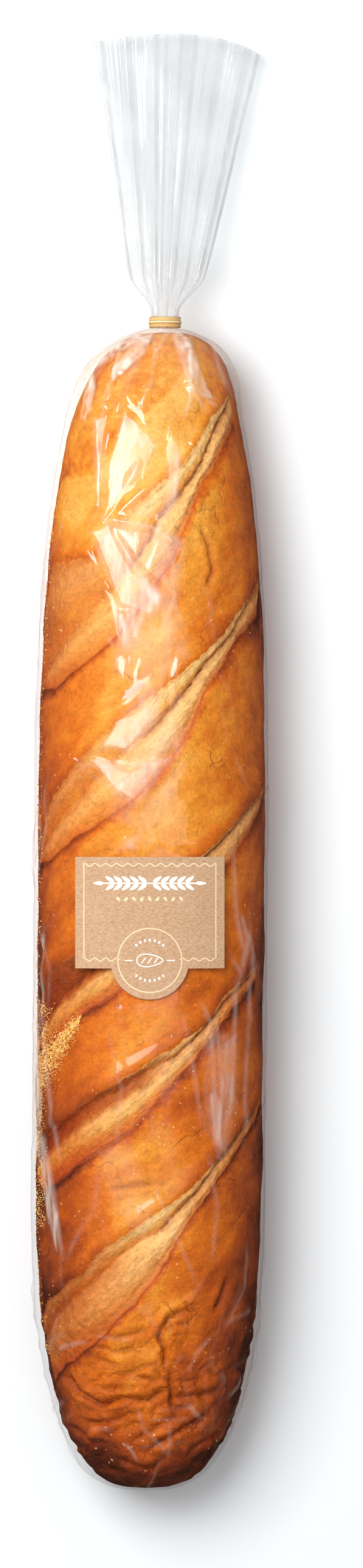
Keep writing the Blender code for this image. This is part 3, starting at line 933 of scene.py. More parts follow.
def film_material(name, tint):
    bag = settings("bag")
    finish = Finish(name)
    crinkle = finish.noise(0.006, 3, 0.5, (1.0, 3.0, 1.0))
    fine = finish.noise(0.0018, 2, 0.5, (1.0, 4.5, 1.0))
    normal = finish.bump(finish.scaled(fine, 0.25, crinkle), 0.0004, 0.5)
    grazing = finish.add("LayerWeight", {"Blend": 0.5, "Normal": normal}).outputs["Facing"]
    # Haze: the film's milky folds, and the painted sheen, reflections and glints of the panes, veils and
    # creases.
    haze = finish.times(finish.attribute("haze"), finish.between(crinkle, 0.25, 0.75, 0.55, 1.35))
    haze = finish.scaled(finish.math("POWER", grazing, 4.0), 0.04, haze)
    haze = finish.clamp(finish.times(haze, bag.haze))
    gloss = finish.scaled(finish.math("POWER", grazing, 5.0), 0.16, 0.042)
    shine = finish.minus(1.0, finish.attribute("dull"))
    gloss = finish.clamp(finish.times(finish.times(gloss, bag.gloss), shine))
    lit = finish.add("BsdfDiffuse", {"Color": solid(tint), "Normal": normal})
    through = finish.add("BsdfTranslucent", {"Color": solid(tint), "Normal": normal})
    mirror = finish.add("BsdfGlossy", {"Roughness": 0.10, "Normal": normal})
    veil = finish.layered(0.25, lit, through)
    body = finish.layered(haze, finish.add("BsdfTransparent"), veil)
    return finish.output(finish.layered(gloss, body, mirror).outputs[0])


def kraft_material():
    trim = settings("trim")
    finish = Finish("kraft paper")
    fibres = finish.noise(0.0005, 5, 0.6, (2.6, 1.0, 1.0))
    share = finish.scaled(finish.noise(0.012, 3), 0.35, finish.between(fibres, 0.35, 0.72, 0.0, 0.75))
    colour = finish.blend(finish.clamp(share), trim.kraft, trim.fibre)
    specks = finish.between(finish.noise(0.0006, 2), 0.70, 0.78, 0, 0.4)
    colour = finish.blend(specks, colour, tone(120, 84, 56))
    return finish.painted(colour, 0.85, 0.2, Normal=finish.bump(fibres, 0.00012, 0.6))


def ink_material(name, ink):
    finish = Finish(name)
    worn = finish.between(finish.noise(0.0007, 4, 0.7), 0.50, 0.80, 0.0, 0.45)
    return finish.painted(finish.blend(worn, ink, settings("trim").kraft), 0.75, 0.2)


def tie_material():
    trim = settings("trim")
    finish = Finish("tie paper")
    along = finish.add("SeparateXYZ", {0: finish.place}).outputs["Y"]
    wood = finish.noise(0.0003, 4, 0.6, (1.0, 3.0, 1.0))
    # Across the tie: lighter on the wire's ridge, a painted highlight; darker beside it and at both edges,
    # painted shade.
    lit_and_shaded_bands = finish.ramp(
        finish.between(along, TIE_LOW.y, TIE_HIGH.y, smooth=False),
        (0.0, tone(178, 132, 70)),
        (0.10, trim.tie_tan),
        (0.34, tone(204, 164, 100)),
        (0.40, trim.tie_brown_and_shade),
        (0.46, tone(246, 222, 168)),
        (0.56, tone(250, 230, 182)),
        (0.62, trim.tie_brown_and_shade),
        (0.68, trim.tie_tan),
        (0.90, trim.tie_tan),
        (1.0, trim.tie_brown_and_shade),
    )
    colour = finish.blend(finish.between(wood, 0.45, 0.75, 0, 0.30), lit_and_shaded_bands, trim.tie_brown_and_shade)
    return finish.painted(colour, 0.5, Normal=finish.bump(wood, 0.0001, 0.5))


def semolina_material():
    finish = Finish("toasted semolina")
    tint = finish.between(finish.noise(0.0016, 2), 0.35, 0.65)
    return finish.painted(finish.blend(tint, settings("trim").semolina, tone(226, 150, 62)), 0.55)


def floor_material():
    finish = Finish("pale floor")
    cloud = finish.between(finish.noise(0.5, 2), 0.3, 0.7, 0, 0.03)
    return finish.painted(finish.blend(cloud, settings("stage").floor, (0.8, 0.8, 0.8)), 0.9, 0.1)


# Loaf


def browning_and_shade(points, turn, upper, y):
    """How far the crust is baked, from 0 for pale to 1 for the darkest, with painted light and shade in it.
    """
    side = np.abs(turn) / 1.57
    left_shoulder = smooth_step(0.060, 0.115, y) * smooth_step(-0.05, -0.6, turn)
    bake_and_shade = 0.30 + 0.46 * side**2.4 * (1 - 0.5 * left_shoulder)
    # Darker towards the right side: partly painted shade on the side away from the light.
    bake_and_shade += 0.06 * smooth_step(0.15, 1.0, turn) - 0.09 * hump(turn, 0.0, 0.40)
    # Paler towards the neck end and darker over the lower half: partly the crust's own colour, partly
    # painted light and shade as the light falls off towards the base end.
    bake_and_shade -= 0.20 * smooth_step(0.05, 0.14, y) * (1 - 0.6 * smooth_step(0.3, 0.9, turn))
    bake_and_shade += 0.18 * smooth_step(0.0, -0.09, y) + 0.46 * smooth_step(-0.255, -0.280, y)
    bake_and_shade += 0.14 * smooth_step(-0.10, -0.15, y) * smooth_step(-0.2, -0.9, turn)
    bake_and_shade -= 0.14 * hump(y, -0.165, 0.022) * hump(turn, 0.0, 0.5)
    bake_and_shade -= 0.09 * left_shoulder
    bake_and_shade += 0.10 * hump(y, 0.014, 0.020) * smooth_step(-0.4, -0.9, turn)
    bake_and_shade -= 0.16 * hump(y, -0.121, 0.020) * smooth_step(0.4, 0.8, turn)
    bake_and_shade -= 0.10 * hump(y, -0.055, 0.020) * smooth_step(0.4, 0.8, turn)
    bake_and_shade -= 0.06 * (1 - upper)
    return np.clip(bake_and_shade + 0.07 * lumps_at(points, 0.028, 2), 0.02, 0.90)


def loaf_points(body, angle, y):
    """Points of the crust with all its relief, and what its material reads there."""
    points, turn, outward = body.surface(y, angle)
    upper = smooth_step(-0.15, 0.25, np.sin(angle))
    cuts = cut_field(body, turn, y + RAGGED_EDGE * lumps_at(points, 0.008, 3))
    cuts["shown"] *= upper
    across = np.mod(cuts["place"], 2)
    torn = cuts["shown"] * smooth_step(0, 0.08, across) * (1 - smooth_step(0.9, 1.02, across))
    base = smooth_step(-0.195, -0.230, y)
    crack_depth, crack_gap = crack_field(points)
    groove = CRACK_GROOVE * hump(cuts["gap"], 0, 0.0009) * upper
    relief = cut_relief(cuts) + crack_depth * upper - groove
    relief += settings("loaf").lumps * lumps_at(points, 0.030, 2)
    relief += FINE_RELIEF * lumps_at(points, 0.006, 2)
    relief += torn * TORN_RELIEF * lumps_at(points, 0.0022, 2)
    relief += base * BASE_RELIEF * (np.abs(lumps_at(points, 0.014, 3)) - 0.25)
    relief *= np.minimum(1, 1.6 * body.share(y))
    points = points + outward * relief[:, None]
    points[:, 2] = np.maximum(points[:, 2], body.floor)
    masks = {
        "cut_place": cuts["place"],
        "cut_shown": cuts["shown"],
        "cut_brown": cuts["brown"],
        "cut_torn": cuts["torn"],
        "crack_gap": np.where(upper > 0.3, np.minimum(crack_gap, cuts["gap"]), FAR_GAP),
        "base_end": base,
        "bake_and_shade": browning_and_shade(points, turn, upper, y),
    }
    return points, masks, outward


def crust_angle(share):
    """Angle round the loaf: three quarters of the mesh goes to the side that is seen most."""
    hidden = np.pi + np.pi * (share - SEEN_SHARE) / (1 - SEEN_SHARE)
    return np.where(share < SEEN_SHARE, np.pi * share / SEEN_SHARE, hidden)


class LOAF_OT_bread(bpy.types.Operator):
    """Make the baked loaf with its five cuts and its cracked base end"""

    bl_idname = "loaf.bread"
    bl_label = "Bread"

    def execute(self, context):
        body = loaf_body()

        def place(around, along):
            angle, y = crust_angle(around), body.stations(along)
            turn = np.arcsin(np.clip(power(np.cos(angle), 2 / CROWN_POWER), -1, 1))
            full = smooth_step(body.base_y, body.base_y + 0.13, y)
            full = full * smooth_step(body.end_y, body.end_y - 0.13, y)
            return loaf_points(body, angle, y + CUT_SLANT * turn * full)[:2]

        bread = shaped_tube("bread", BREAD_MESH, place)
        add_piece(bread, crust_material(), "crust", "bagged_loaf")
        return {"FINISHED"}


# Bag


def crease_field(x, y, creases):
    """Height and haze that a set of creases gives the film, the haze partly painted highlight."""
    height, haze = np.zeros(len(x)), np.zeros(len(x))
    for line, width, high, milky in creases:
        distance, along = distance_to_line(x, y, metres(line))
        ends = smooth_step(-0.05, 0.15, along) * (1 - smooth_step(0.8, 1.05, along))
        tent = np.clip(1 - distance * 1000 / width, 0, 1)
        height += high / 1000 * tent * ends
        haze += milky * np.clip(1 - distance * 1000 / min(width, 1.3), 0, 1) * ends
    return height, haze


def random_creases(count, seed, low_y, high_y, lengths, widths, heights, spread):
    """Creases scattered over the unrolled bag, most of them along it."""
    draw = np.random.default_rng(seed)
    creases = []
    for _ in range(count):
        around, y = draw.uniform(-105, 105), draw.uniform(low_y, high_y)
        length, heading = draw.uniform(*lengths), draw.normal(0, spread)
        bend = draw.uniform(-0.25, 0.25) * length
        dx, dy = math.sin(heading) * length / 2, math.cos(heading) * length / 2
        line = ((around - dx, y - dy), (around + bend, y), (around + dx, y + dy))
        width, height = draw.uniform(*widths), draw.uniform(*heights)
        creases.append((line, width, height, 0.30 * draw.uniform(0, 1) ** 2))
    return creases


def outside(x, y, outline):
    """Distance of each point outside an outline, negative inside, for one that bulges everywhere."""
    corners = metres(outline)
    middle_x, middle_y = np.mean(corners, axis=0)
    farthest = np.full(len(x), -1.0)
    for i, (ax, ay) in enumerate(corners):
        bx, by = corners[(i + 1) % len(corners)]
        nx, ny = by - ay, ax - bx
        length = max(math.hypot(nx, ny), 1e-9)
        sign = -1 if nx * (middle_x - ax) + ny * (middle_y - ay) > 0 else 1
        farthest = np.maximum(farthest, sign * (nx * (x - ax) + ny * (y - ay)) / length)
    return farthest


def in_outline(x, y, outline, soft):
    """1 inside an outline of any shape and 0 outside, fading over a soft edge."""
    corners = metres(outline)
    crossings = np.zeros(len(x), bool)
    for i, (ax, ay) in enumerate(corners):
        bx, by = corners[(i + 1) % len(corners)]
        spans = (ay > y) != (by > y)
        crossings ^= spans & (x < (bx - ax) * (y - ay) / (by - ay if by != ay else 1e-9) + ax)
    distance, _ = distance_to_line(x, y, corners + corners[:1])
    signed = np.where(crossings, distance, -distance)
    return np.clip(0.5 + signed / soft, 0, 1)


def nearest_glint(place, slope_x, slope_y):
    """Slopes near the given ones at which a mirror sends the glint panel to the camera."""
    to_camera = (CAMERA_PLACE - place).normalized()
    normal = Vector((-slope_x, -slope_y, 1)).normalized()
    mirrored = 2 * to_camera.dot(normal) * normal - to_camera
    seen = place + mirrored * (GLINT_PLACE.z - place.z) / mirrored.z
    reach_x, reach_y = 0.30 * GLINT_SIZE[0], 0.30 * GLINT_SIZE[1]
    seen.x = min(max(seen.x, GLINT_PLACE.x - reach_x), GLINT_PLACE.x + reach_x)
    seen.y = min(max(seen.y, GLINT_PLACE.y - reach_y), GLINT_PLACE.y + reach_y)
    facing = (seen - place).normalized() + to_camera
    return -facing.x / facing.z, -facing.y / facing.z


def stretched_panes(points, upper):
    """How far the film stands off in its flat panes, their haze of painted sheen and how dull their gloss
    is.
    """
    x, y, z = points.T
    lift, milky, dull = (np.zeros(len(points)) for _ in range(3))
    for outline, painted_sheen, gleam in PANES:
        distance = outside(x, y, outline)
        inside = (distance < 0) & (upper > 0.5)
        if not inside.any():
            continue
        soft = smooth_step(0.0025, -0.0015, distance) * upper
        # Painted sheen over the pane, in soft streaks.
        streaks = 0.75 + 0.5 * lumps_at(points * (1.0, 0.25, 0.0), 0.0022, 2)
        milky += painted_sheen * soft * streaks
        if gleam == 0:
            continue
        left, right = x[inside].min(), x[inside].max()
        fall = smooth_step(0.10, 0.95, (x - left) / (right - left))
        gloss = np.clip(gleam * (1 - 0.65 * fall) * (0.4 + 0.8 * streaks), 0.05, 1)
        dull = np.maximum(dull, (1 - gloss) * smooth_step(0.0035, 0.0, distance) * upper)
        flat = np.stack([x[inside], y[inside], np.ones(inside.sum())], axis=1)
        slope_x, slope_y, _ = np.linalg.lstsq(flat, z[inside], rcond=None)[0]
        middle = Vector((*np.mean(outline, axis=0) / 1000, float(z[inside].mean())))
        slope_x, slope_y = nearest_glint(middle, slope_x, slope_y)
        pane = slope_x * x + slope_y * y
        raised = np.clip(np.max(z[inside] - pane[inside]) + 0.0002 + pane - z, 0, PANE_LIFT)
        lift = np.maximum(lift, raised * smooth_step(PANE_RIM, 0.0, distance) * upper)
    return lift, milky, dull


def under_label(x, y):
    near_x = 1 - smooth_step(LABEL_HALF_WIDTH, LABEL_HALF_WIDTH + 0.005, np.abs(x - LABEL_X))
    near_y = 1 - smooth_step(0.028, 0.033, np.abs(y - (LABEL_LOW.y + LABEL_HIGH.y) / 2))
    return near_x * near_y


def film_folds(points, y, unrolled, upper):
    """Height and haze of the film's creases and veils, the placed ones and the scattered ones, with painted
    reflections and glints in the haze.
    """
    high, milky = crease_field(points[:, 0], y, FAN_CREASES + CROWN_CREASES + LOWER_CREASES)
    high, milky = high * upper, milky * upper
    streaks = 0.7 + 0.9 * lumps_at(points * (1.0, 0.2, 1.0), 0.0028, 2)
    streaks = np.clip(streaks, 0.1, 1.3) * smooth_step(0.012, 0.034, points[:, 2])
    streaks *= 1 + 0.45 * smooth_step(0.120, 0.140, y)
    for outline, veil in VEILS:
        milky += veil * upper * streaks * in_outline(points[:, 0], y, outline, 0.0010)
    sides = smooth_step(0.5, 1.3, np.abs(unrolled) / (UNROLL_RADIUS / 1000))
    loose_high, loose_haze_and_glints = crease_field(unrolled, y, random_creases(*LOOSE_CREASES))
    end_high, end_haze_and_glints = crease_field(unrolled, y, random_creases(*END_CREASES))
    # The scattered creases are hazier at the sides and the base end: painted glints along them.
    high += loose_high * (0.35 + 0.8 * sides) + end_high
    milky += loose_haze_and_glints * (0.2 + 1.1 * sides) + 0.9 * end_haze_and_glints
    return high, milky


def crumpled(angle):
    """Radius of the gathered neck at each angle round it."""
    return NECK_RADIUS * (1 + 0.10 * np.sin(angle * 9) + 0.06 * np.sin(angle * 17 + 1))


def draw_to_neck(points, body, angle, along, gather):
    """Draws the film's end in to the neck, which runs on past the whole of its length."""
    radius = crumpled(angle)
    middle_x = (NECK.x - body.centre(np.full(1, SHOULDER_Y))[0]) * gather
    points[:, 0] += np.cos(angle) * radius * gather + middle_x
    points[:, 2] += np.sin(angle) * radius * gather
    neck_y = mix(body.end_y, NECK.y + 0.0005, (along - 1) / NECK_SHARE)
    points[:, 1] = np.where(along > 1, neck_y, points[:, 1])
    points[:, 2] = np.maximum(points[:, 2], body.floor)


def film_points(around, along, start, end):
    """The bag over the loaf, from one share of its length to another; past 1 it is the neck."""
    body = bag_body()
    angle = crust_angle(around)
    along = mix(start, end, along)
    y = body.stations(np.clip(along, 0, 1))
    points, turn, outward = body.surface(y, angle)
    upper = smooth_step(-0.2, 0.3, np.sin(angle))
    cuts = cut_field(loaf_body(), turn, y)
    across = np.mod(cuts["place"], 2)
    lips = (hump(across, 1.95, 0.11) + hump(across, -0.05, 0.11)) * cuts["shown"] * upper
    unrolled = (angle - np.pi / 2) * UNROLL_RADIUS
    unrolled = np.where(unrolled > HALF_GIRTH, unrolled - 2 * HALF_GIRTH, unrolled) / 1000
    high, milky = film_folds(points, y, unrolled, upper)
    waves = WAVE_LIFT * (1 + lumps_at(points, 0.022, 2))
    neck = smooth_step(0.118, 0.160, y)
    pleats = np.sin(angle * 11 + 1.5 * np.sin(angle * 2)) + 0.6 * np.sin(angle * 23 + 2)
    fan = neck * (1.6 + pleats) * PLEAT_LIFT * (0.25 + 0.75 * np.abs(np.sin(angle)))
    flat = under_label(points[:, 0], y) * upper
    settle = (1 - 0.95 * flat) * (0.35 + 0.65 * smooth_step(-0.5, 0.1, np.sin(angle)))
    creases = high * settings("bag").slack / CREASE_SLACK
    lift = (creases + waves) * settle + LIP_LIFT * lips * (1 - flat) + fan
    pane_lift, pane_sheen, dull = stretched_panes(points, upper * (1 - flat))
    lift = np.maximum(lift * (1 - 0.8 * np.clip(pane_lift / 0.0008, 0, 1)), pane_lift) + LEAST_LIFT
    lift *= np.minimum(1, 1.5 * body.share(y))
    points = points + outward * lift[:, None]
    gather = np.where(y > 0, (1 - body.share(y)) ** 2, 0)
    draw_to_neck(points, body, angle, along, gather)
    lower_crown = smooth_step(-0.085, -0.100, y) * (1 - smooth_step(0.4, 0.9, np.abs(turn))) * upper
    fan_haze = neck**2 * (0.05 + 0.11 * np.clip(pleats, 0, 2))
    # Haze of the milky folds and the gathered neck, with the panes' painted sheen and the painted
    # reflections and glints of the veils and creases.
    haze = 0.001 + milky + pane_sheen + fan_haze + 0.30 * gather**2
    return points, {"haze": np.clip(haze, 0, 0.85), "dull": np.maximum(dull, 0.6 * lower_crown)}


def fold_wave(value):
    """A wave of straight folds, from -0.5 to 0.5, for each whole step of the value."""
    return np.abs(np.mod(value, 1) - 0.5) * 2 - 0.5


def pleat_wave(across):
    """The tail's pleats: the CAD's own wave, with sharper small folds over it."""
    broad = np.sin(np.pi * 5.5 * across + 0.6) + 0.45 * np.sin(np.pi * 12.65 * across + 1.9)
    sharp = fold_wave(9.5 * across + 0.3 * np.sin(7 * across))
    return broad, sharp, fold_wave(23 * across + 0.4 * np.sin(13 * across))


def tail_points(around, along):
    """The gathered tail: round at the neck, then two pleated layers of film, open at the mouth."""
    angle = 2 * np.pi * around
    upper = angle <= np.pi
    across = np.where(upper, 1 - 2 * angle / np.pi, 2 * angle / np.pi - 3)
    drop = np.where(across < 0, MOUTH_DROP_LEFT, MOUTH_DROP_RIGHT) * across**2
    distance = along**1.25 * (TAIL_LENGTH - drop)
    flare = TAIL_FLARE * (1 - np.exp(-distance / TAIL_FLARE_LENGTH))
    spread = TAIL_START_HALF + flare + TAIL_SPREAD * distance
    opened = smooth_step(0.0, 0.016, distance)
    grown = smooth_step(0.003, 0.030, distance)
    broad, sharp, fine = pleat_wave(across)
    height = settings("bag").pleat_height
    fade = 1 - 0.45 * smooth_step(0.06, 0.11, distance)
    fold = grown * height * (0.74 * broad * fade + 0.20 * sharp + 0.07 * fine)
    fold += grown * 0.0006 * np.sin(distance / 0.011 + 5 * across + np.where(upper, 0, 1.1))
    gap = 0.0005 * np.sqrt(np.clip(1 - across**2, 0, 1)) * (1 + 1.6 * smooth_step(0.07, 0.111, distance))
    layer = np.where(upper, gap, -gap) * (1 + 0.5 * np.sin(9 * across))
    radius = crumpled(angle)
    middle_x = NECK.x + TAIL_LEAN * distance
    middle_z = mix(NECK.z, TAIL_REST_Z, (distance / TAIL_LENGTH) ** 0.9)
    x = middle_x + mix(radius * np.cos(angle), spread * across, opened)
    z = middle_z + mix(radius * np.sin(angle), layer, opened) + fold
    points = np.stack([x, TAIL_START_Y + distance, np.maximum(z, 0.0006)], axis=1)
    ridges = np.clip(sharp + 0.2, 0, 1) + 0.5 * np.clip(fine, 0, 1)
    patches = 0.10 * np.clip(lumps_at(points * (1.0, 0.25, 1.0), 0.010, 3), -0.8, 1)
    haze = 0.19 + 0.20 * (1 - smooth_step(0.0, 0.035, distance)) + 0.06 * ridges + patches
    haze += 0.20 * smooth_step(0.88, 0.98, np.abs(across)) + 0.12 * smooth_step(0.95, 1.0, along)
    return points, {"haze": np.clip(haze, 0, 0.8)}


class LOAF_OT_bag(bpy.types.Operator):
    """Make the clear film round the loaf and the gathered tail beyond the tie"""

    bl_idname = "loaf.bag"
    bl_label = "Bag"

    def execute(self, context):
        look = settings("bag")
        film = film_material("clear film", look.tint)
        shoulder = ("bag_shoulder", SHOULDER_MESH, BAG_SPLIT, 1 + NECK_SHARE)
        for name, counts, start, end in (("bag", BAG_MESH, 0.0, BAG_SPLIT), shoulder):
            place = functools.partial(film_points, start=start, end=end)
            bag = shaped_tube(name, counts, place)
            add_piece(bag, film, "film", "bagged_loaf")
        tail = shaped_tube("bag_tail", TAIL_MESH, tail_points)
        add_piece(tail, film_material("gathered film", look.tail_tint), "film", "bagged_loaf")
        return {"FINISHED"}


# Tie


class LOAF_OT_tie(bpy.types.Operator):
    """Make the paper tie with the ridge of its wire"""

    bl_idname = "loaf.tie"
    bl_label = "Tie"

    def execute(self, context):
        half = (TIE_HIGH.y - TIE_LOW.y) / 2
        outer = (TIE_HIGH.x - TIE_LOW.x) / 2
        paper = outer - RIDGE_HEIGHT
        profile = (
            (TIE_INNER, -half),
            (paper, -half),
            (paper, -RIDGE_HALF_WIDTH),
            (outer - 0.0001, -0.0004),
            (outer, 0.0),
            (outer - 0.0001, 0.0004),
            (paper, RIDGE_HALF_WIDTH),
            (paper, half),
            (TIE_INNER, half),
        )
        mesh = bmesh.new()
        verts = [mesh.verts.new(NECK + Vector((radius, along, 0))) for radius, along in profile]
        edges = [mesh.edges.new((verts[i - 1], verts[i])) for i in range(len(verts))]
        turned = {"cent": NECK, "axis": (0, 1, 0), "angle": 2 * math.pi, "steps": 96, "use_merge": True}
        bmesh.ops.spin(mesh, geom=verts + edges, **turned)
        bmesh.ops.remove_doubles(mesh, verts=mesh.verts, dist=1e-6)
        for vert in mesh.verts:
            around = math.atan2(vert.co.z - NECK.z, vert.co.x - NECK.x)
            vert.co.y += 0.00008 * math.sin(3 * around + 1)
        corners = [edge for edge in mesh.edges if edge.calc_face_angle(0) > 1.2]
        bmesh.ops.bevel(
            mesh, geom=corners, offset=0.00012, segments=2, profile=0.5, affect="EDGES", material=-1
        )
        bmesh.ops.recalc_face_normals(mesh, faces=mesh.faces)
        tie = object_from(mesh, "twist_tie")
        add_piece(tie, tie_material(), "tie_paper", "tie")
        return {"FINISHED"}


# Label


def everything(mesh):
    return mesh.verts[:] + mesh.edges[:] + mesh.faces[:]


def crown_above(x, lift):
    """Height of the bag's crown above a point of the label, plus a lift."""
    body = bag_body()
    y = np.full(1, TAB_Y)
    share, top = body.share(y)[0], body.crown(y)[0]
    across = min(LABEL_FLATNESS * abs(x - body.centre(y)[0]) / (body.half_width * share), 1.0)
    widest = WIDEST_SHARE * top
    return widest + (top - widest) * (1 - across**CROWN_POWER) ** (1 / CROWN_POWER) + lift


def lay_on_crown(mesh, lift):
    for vert in mesh.verts:
        vert.co.z = crown_above(vert.co.x, lift)


def slice_across(mesh, places):
    """Cuts a flat sheet into strips, so that it can bend round the crown."""
    for x in places:
        plane = {"plane_co": (x, 0, 0), "plane_no": (1, 0, 0)}
        bmesh.ops.bisect_plane(mesh, geom=everything(mesh), dist=1e-6, **plane)


def sheet_outline(mesh):
    """The label's flat outline: a rectangle, and the part of a disc below its lower edge."""
    turn = Matrix.Translation((LABEL_X, (LABEL_TOP_Y + LABEL_BOTTOM_Y) / 2, 0))
    size = Matrix.Diagonal((LABEL_HALF_WIDTH * 2, LABEL_TOP_Y - LABEL_BOTTOM_Y, 1, 1))
    bmesh.ops.create_grid(mesh, x_segments=1, y_segments=1, size=0.5, matrix=turn @ size)
    disc = bmesh.new()
    place = Matrix.Translation((LABEL_X, TAB_Y, 0))
    bmesh.ops.create_circle(disc, cap_ends=True, segments=120, radius=TAB_RADIUS, matrix=place)
    plane = {"plane_co": (0, LABEL_BOTTOM_Y, 0), "plane_no": (0, 1, 0), "clear_outer": True}
    bmesh.ops.bisect_plane(disc, geom=everything(disc), dist=1e-6, **plane)
    tab = bpy.data.meshes.new("tab")
    disc.to_mesh(tab)
    disc.free()
    mesh.from_mesh(tab)
    bpy.data.meshes.remove(tab)


def path_strip(mesh, path, width, closed=False):
    """A flat printed line of one width along a path, laid on z = 0."""
    count = len(path)
    made = bmesh.ops.create_grid(mesh, x_segments=count - 1, y_segments=1, size=0.5)["verts"]
    rows = sorted(made, key=lambda vert: (round(vert.co.x * (count - 1)), vert.co.y))
    for i, (x, y) in enumerate(path):
        if closed:
            before, after = path[(i - 1) % (count - 1)], path[(i + 1) % (count - 1)]
        else:
            before, after = path[max(i - 1, 0)], path[min(i + 1, count - 1)]
        way = Vector((after[0] - before[0], after[1] - before[1])).normalized()
        side = Vector((-way.y, way.x)) * width / 2
        for vert, sign in zip(rows[2 * i : 2 * i + 2], (1, -1)):
            vert.co = (x + side.x * sign, y + side.y * sign, 0)


def oval(x, y, long, wide, heading, count=20):
    """Outline of a pointed oval, such as a grain of wheat."""
    cos, sin = math.cos(heading), math.sin(heading)
    points = []
    for i in range(count):
        turn = 2 * math.pi * i / count
        along = math.cos(turn) * long / 2
        out = math.sin(turn) * wide / 2 * (1 - 0.35 * math.cos(turn))
        points.append((x + along * cos - out * sin, y + along * sin + out * cos))
    return points


def around_tab(radius, turn):
    return LABEL_X + radius * math.cos(turn), TAB_Y + radius * math.sin(turn)


def filled(mesh, outline):
    verts = [mesh.verts.new((x, y, 0)) for x, y in outline]
    bmesh.ops.contextual_create(mesh, geom=verts)


def wheat_ear(mesh, x, y, heading, pairs, size):
    """A stem with pairs of grains, printed flat."""
    way = Vector((math.cos(heading), math.sin(heading)))
    across = Vector((-way.y, way.x))
    foot = Vector((x, y))
    step = size * 0.62
    stem = [foot + way * step * i * 0.5 for i in range(2 * pairs + 3)]
    path_strip(mesh, [tuple(point) for point in stem], size * 0.11)
    for i in range(pairs):
        middle = foot + way * (step * (i + 1.1))
        for sign in (1, -1):
            seat = middle + across * sign * size * 0.30
            filled(mesh, oval(seat.x, seat.y, size * 0.78, size * 0.30, heading + sign * 0.62))
    tip = foot + way * (step * (pairs + 1.5))
    filled(mesh, oval(tip.x, tip.y, size * 0.8, size * 0.28, heading))


def border_lines(mesh):
    """Wavy lines along the top and the bottom, straight ones down the sides, and the tab's ring."""
    left, right = LABEL_X - BORDER_HALF_WIDTH, LABEL_X + BORDER_HALF_WIDTH
    top, bottom = LABEL_TOP_Y - 0.0030, LABEL_BOTTOM_Y + 0.0034
    wave = 2 * BORDER_HALF_WIDTH / BORDER_WAVES
    runs = ((top, left, right), (bottom, left, LABEL_X - 0.0114), (bottom, LABEL_X + 0.0114, right))
    for y, start, end in runs:
        count = int((end - start) / wave * 12)
        xs = [mix(start, end, i / count) for i in range(count + 1)]
        path = [(x, y + BORDER_SWING * math.cos(2 * math.pi * (x - left) / wave)) for x in xs]
        path_strip(mesh, path, THIN_LINE)
    for x in (left, right):
        ys = [mix(top + BORDER_SWING, bottom + BORDER_SWING, i / 8) for i in range(9)]
        path_strip(mesh, [(x, y) for y in ys], THIN_LINE)
    ring = [around_tab(RING_RADIUS, 2 * math.pi * i / 96) for i in range(97)]
    path_strip(mesh, ring, BOLD_LINE, closed=True)


def tab_ornament(mesh):
    """A small loaf between two dashes, with a row of dots above and below."""
    loaf = [(LABEL_X + x, TAB_Y + y) for x, y in oval(0, 0, 0.0100, 0.0046, 0, count=40)]
    path_strip(mesh, loaf + loaf[:1], LINE, closed=True)
    for offset in (-0.0024, 0.0, 0.0024):
        x = LABEL_X + offset
        path_strip(mesh, [(x - 0.0008, TAB_Y - 0.0011), (x, TAB_Y), (x + 0.0008, TAB_Y + 0.0011)], LINE)
    for sign in (1, -1):
        path_strip(mesh, [(LABEL_X + sign * 0.0066, TAB_Y), (LABEL_X + sign * 0.0096, TAB_Y)], BOLD_LINE)
        for i in range(-3, 4):
            turn = math.pi / 2 * sign + i * 0.24
            filled(mesh, oval(*around_tab(DOT_RADIUS, turn), 0.0012, 0.0008, turn, count=12))


def small_leaves(mesh):
    """A row of small leaves, turned one way and the other."""
    for i in range(-4, 5):
        x, y = LABEL_X + i * 0.0030, LABEL_TOP_Y - 0.0160
        filled(mesh, oval(x, y, 0.0020, 0.0011, 0.9 if i % 2 else -0.9, count=12))


def printed_piece(name, mesh, ink, colour):
    """Slices the print, lays it on the label and turns it face up."""
    shares = [i / LABEL_STRIPS for i in range(LABEL_STRIPS + 1)]
    slice_across(mesh, [LABEL_X + mix(-0.028, 0.028, share) for share in shares])
    bmesh.ops.remove_doubles(mesh, verts=mesh.verts, dist=1e-7)
    lay_on_crown(mesh, PRINT_LIFT)
    bmesh.ops.recalc_face_normals(mesh, faces=mesh.faces)
    if sum(face.normal.z for face in mesh.faces) < 0:
        bmesh.ops.reverse_faces(mesh, faces=mesh.faces)
    print_piece = object_from(mesh, name, smooth=False)
    add_piece(print_piece, ink_material(ink, colour), "print")


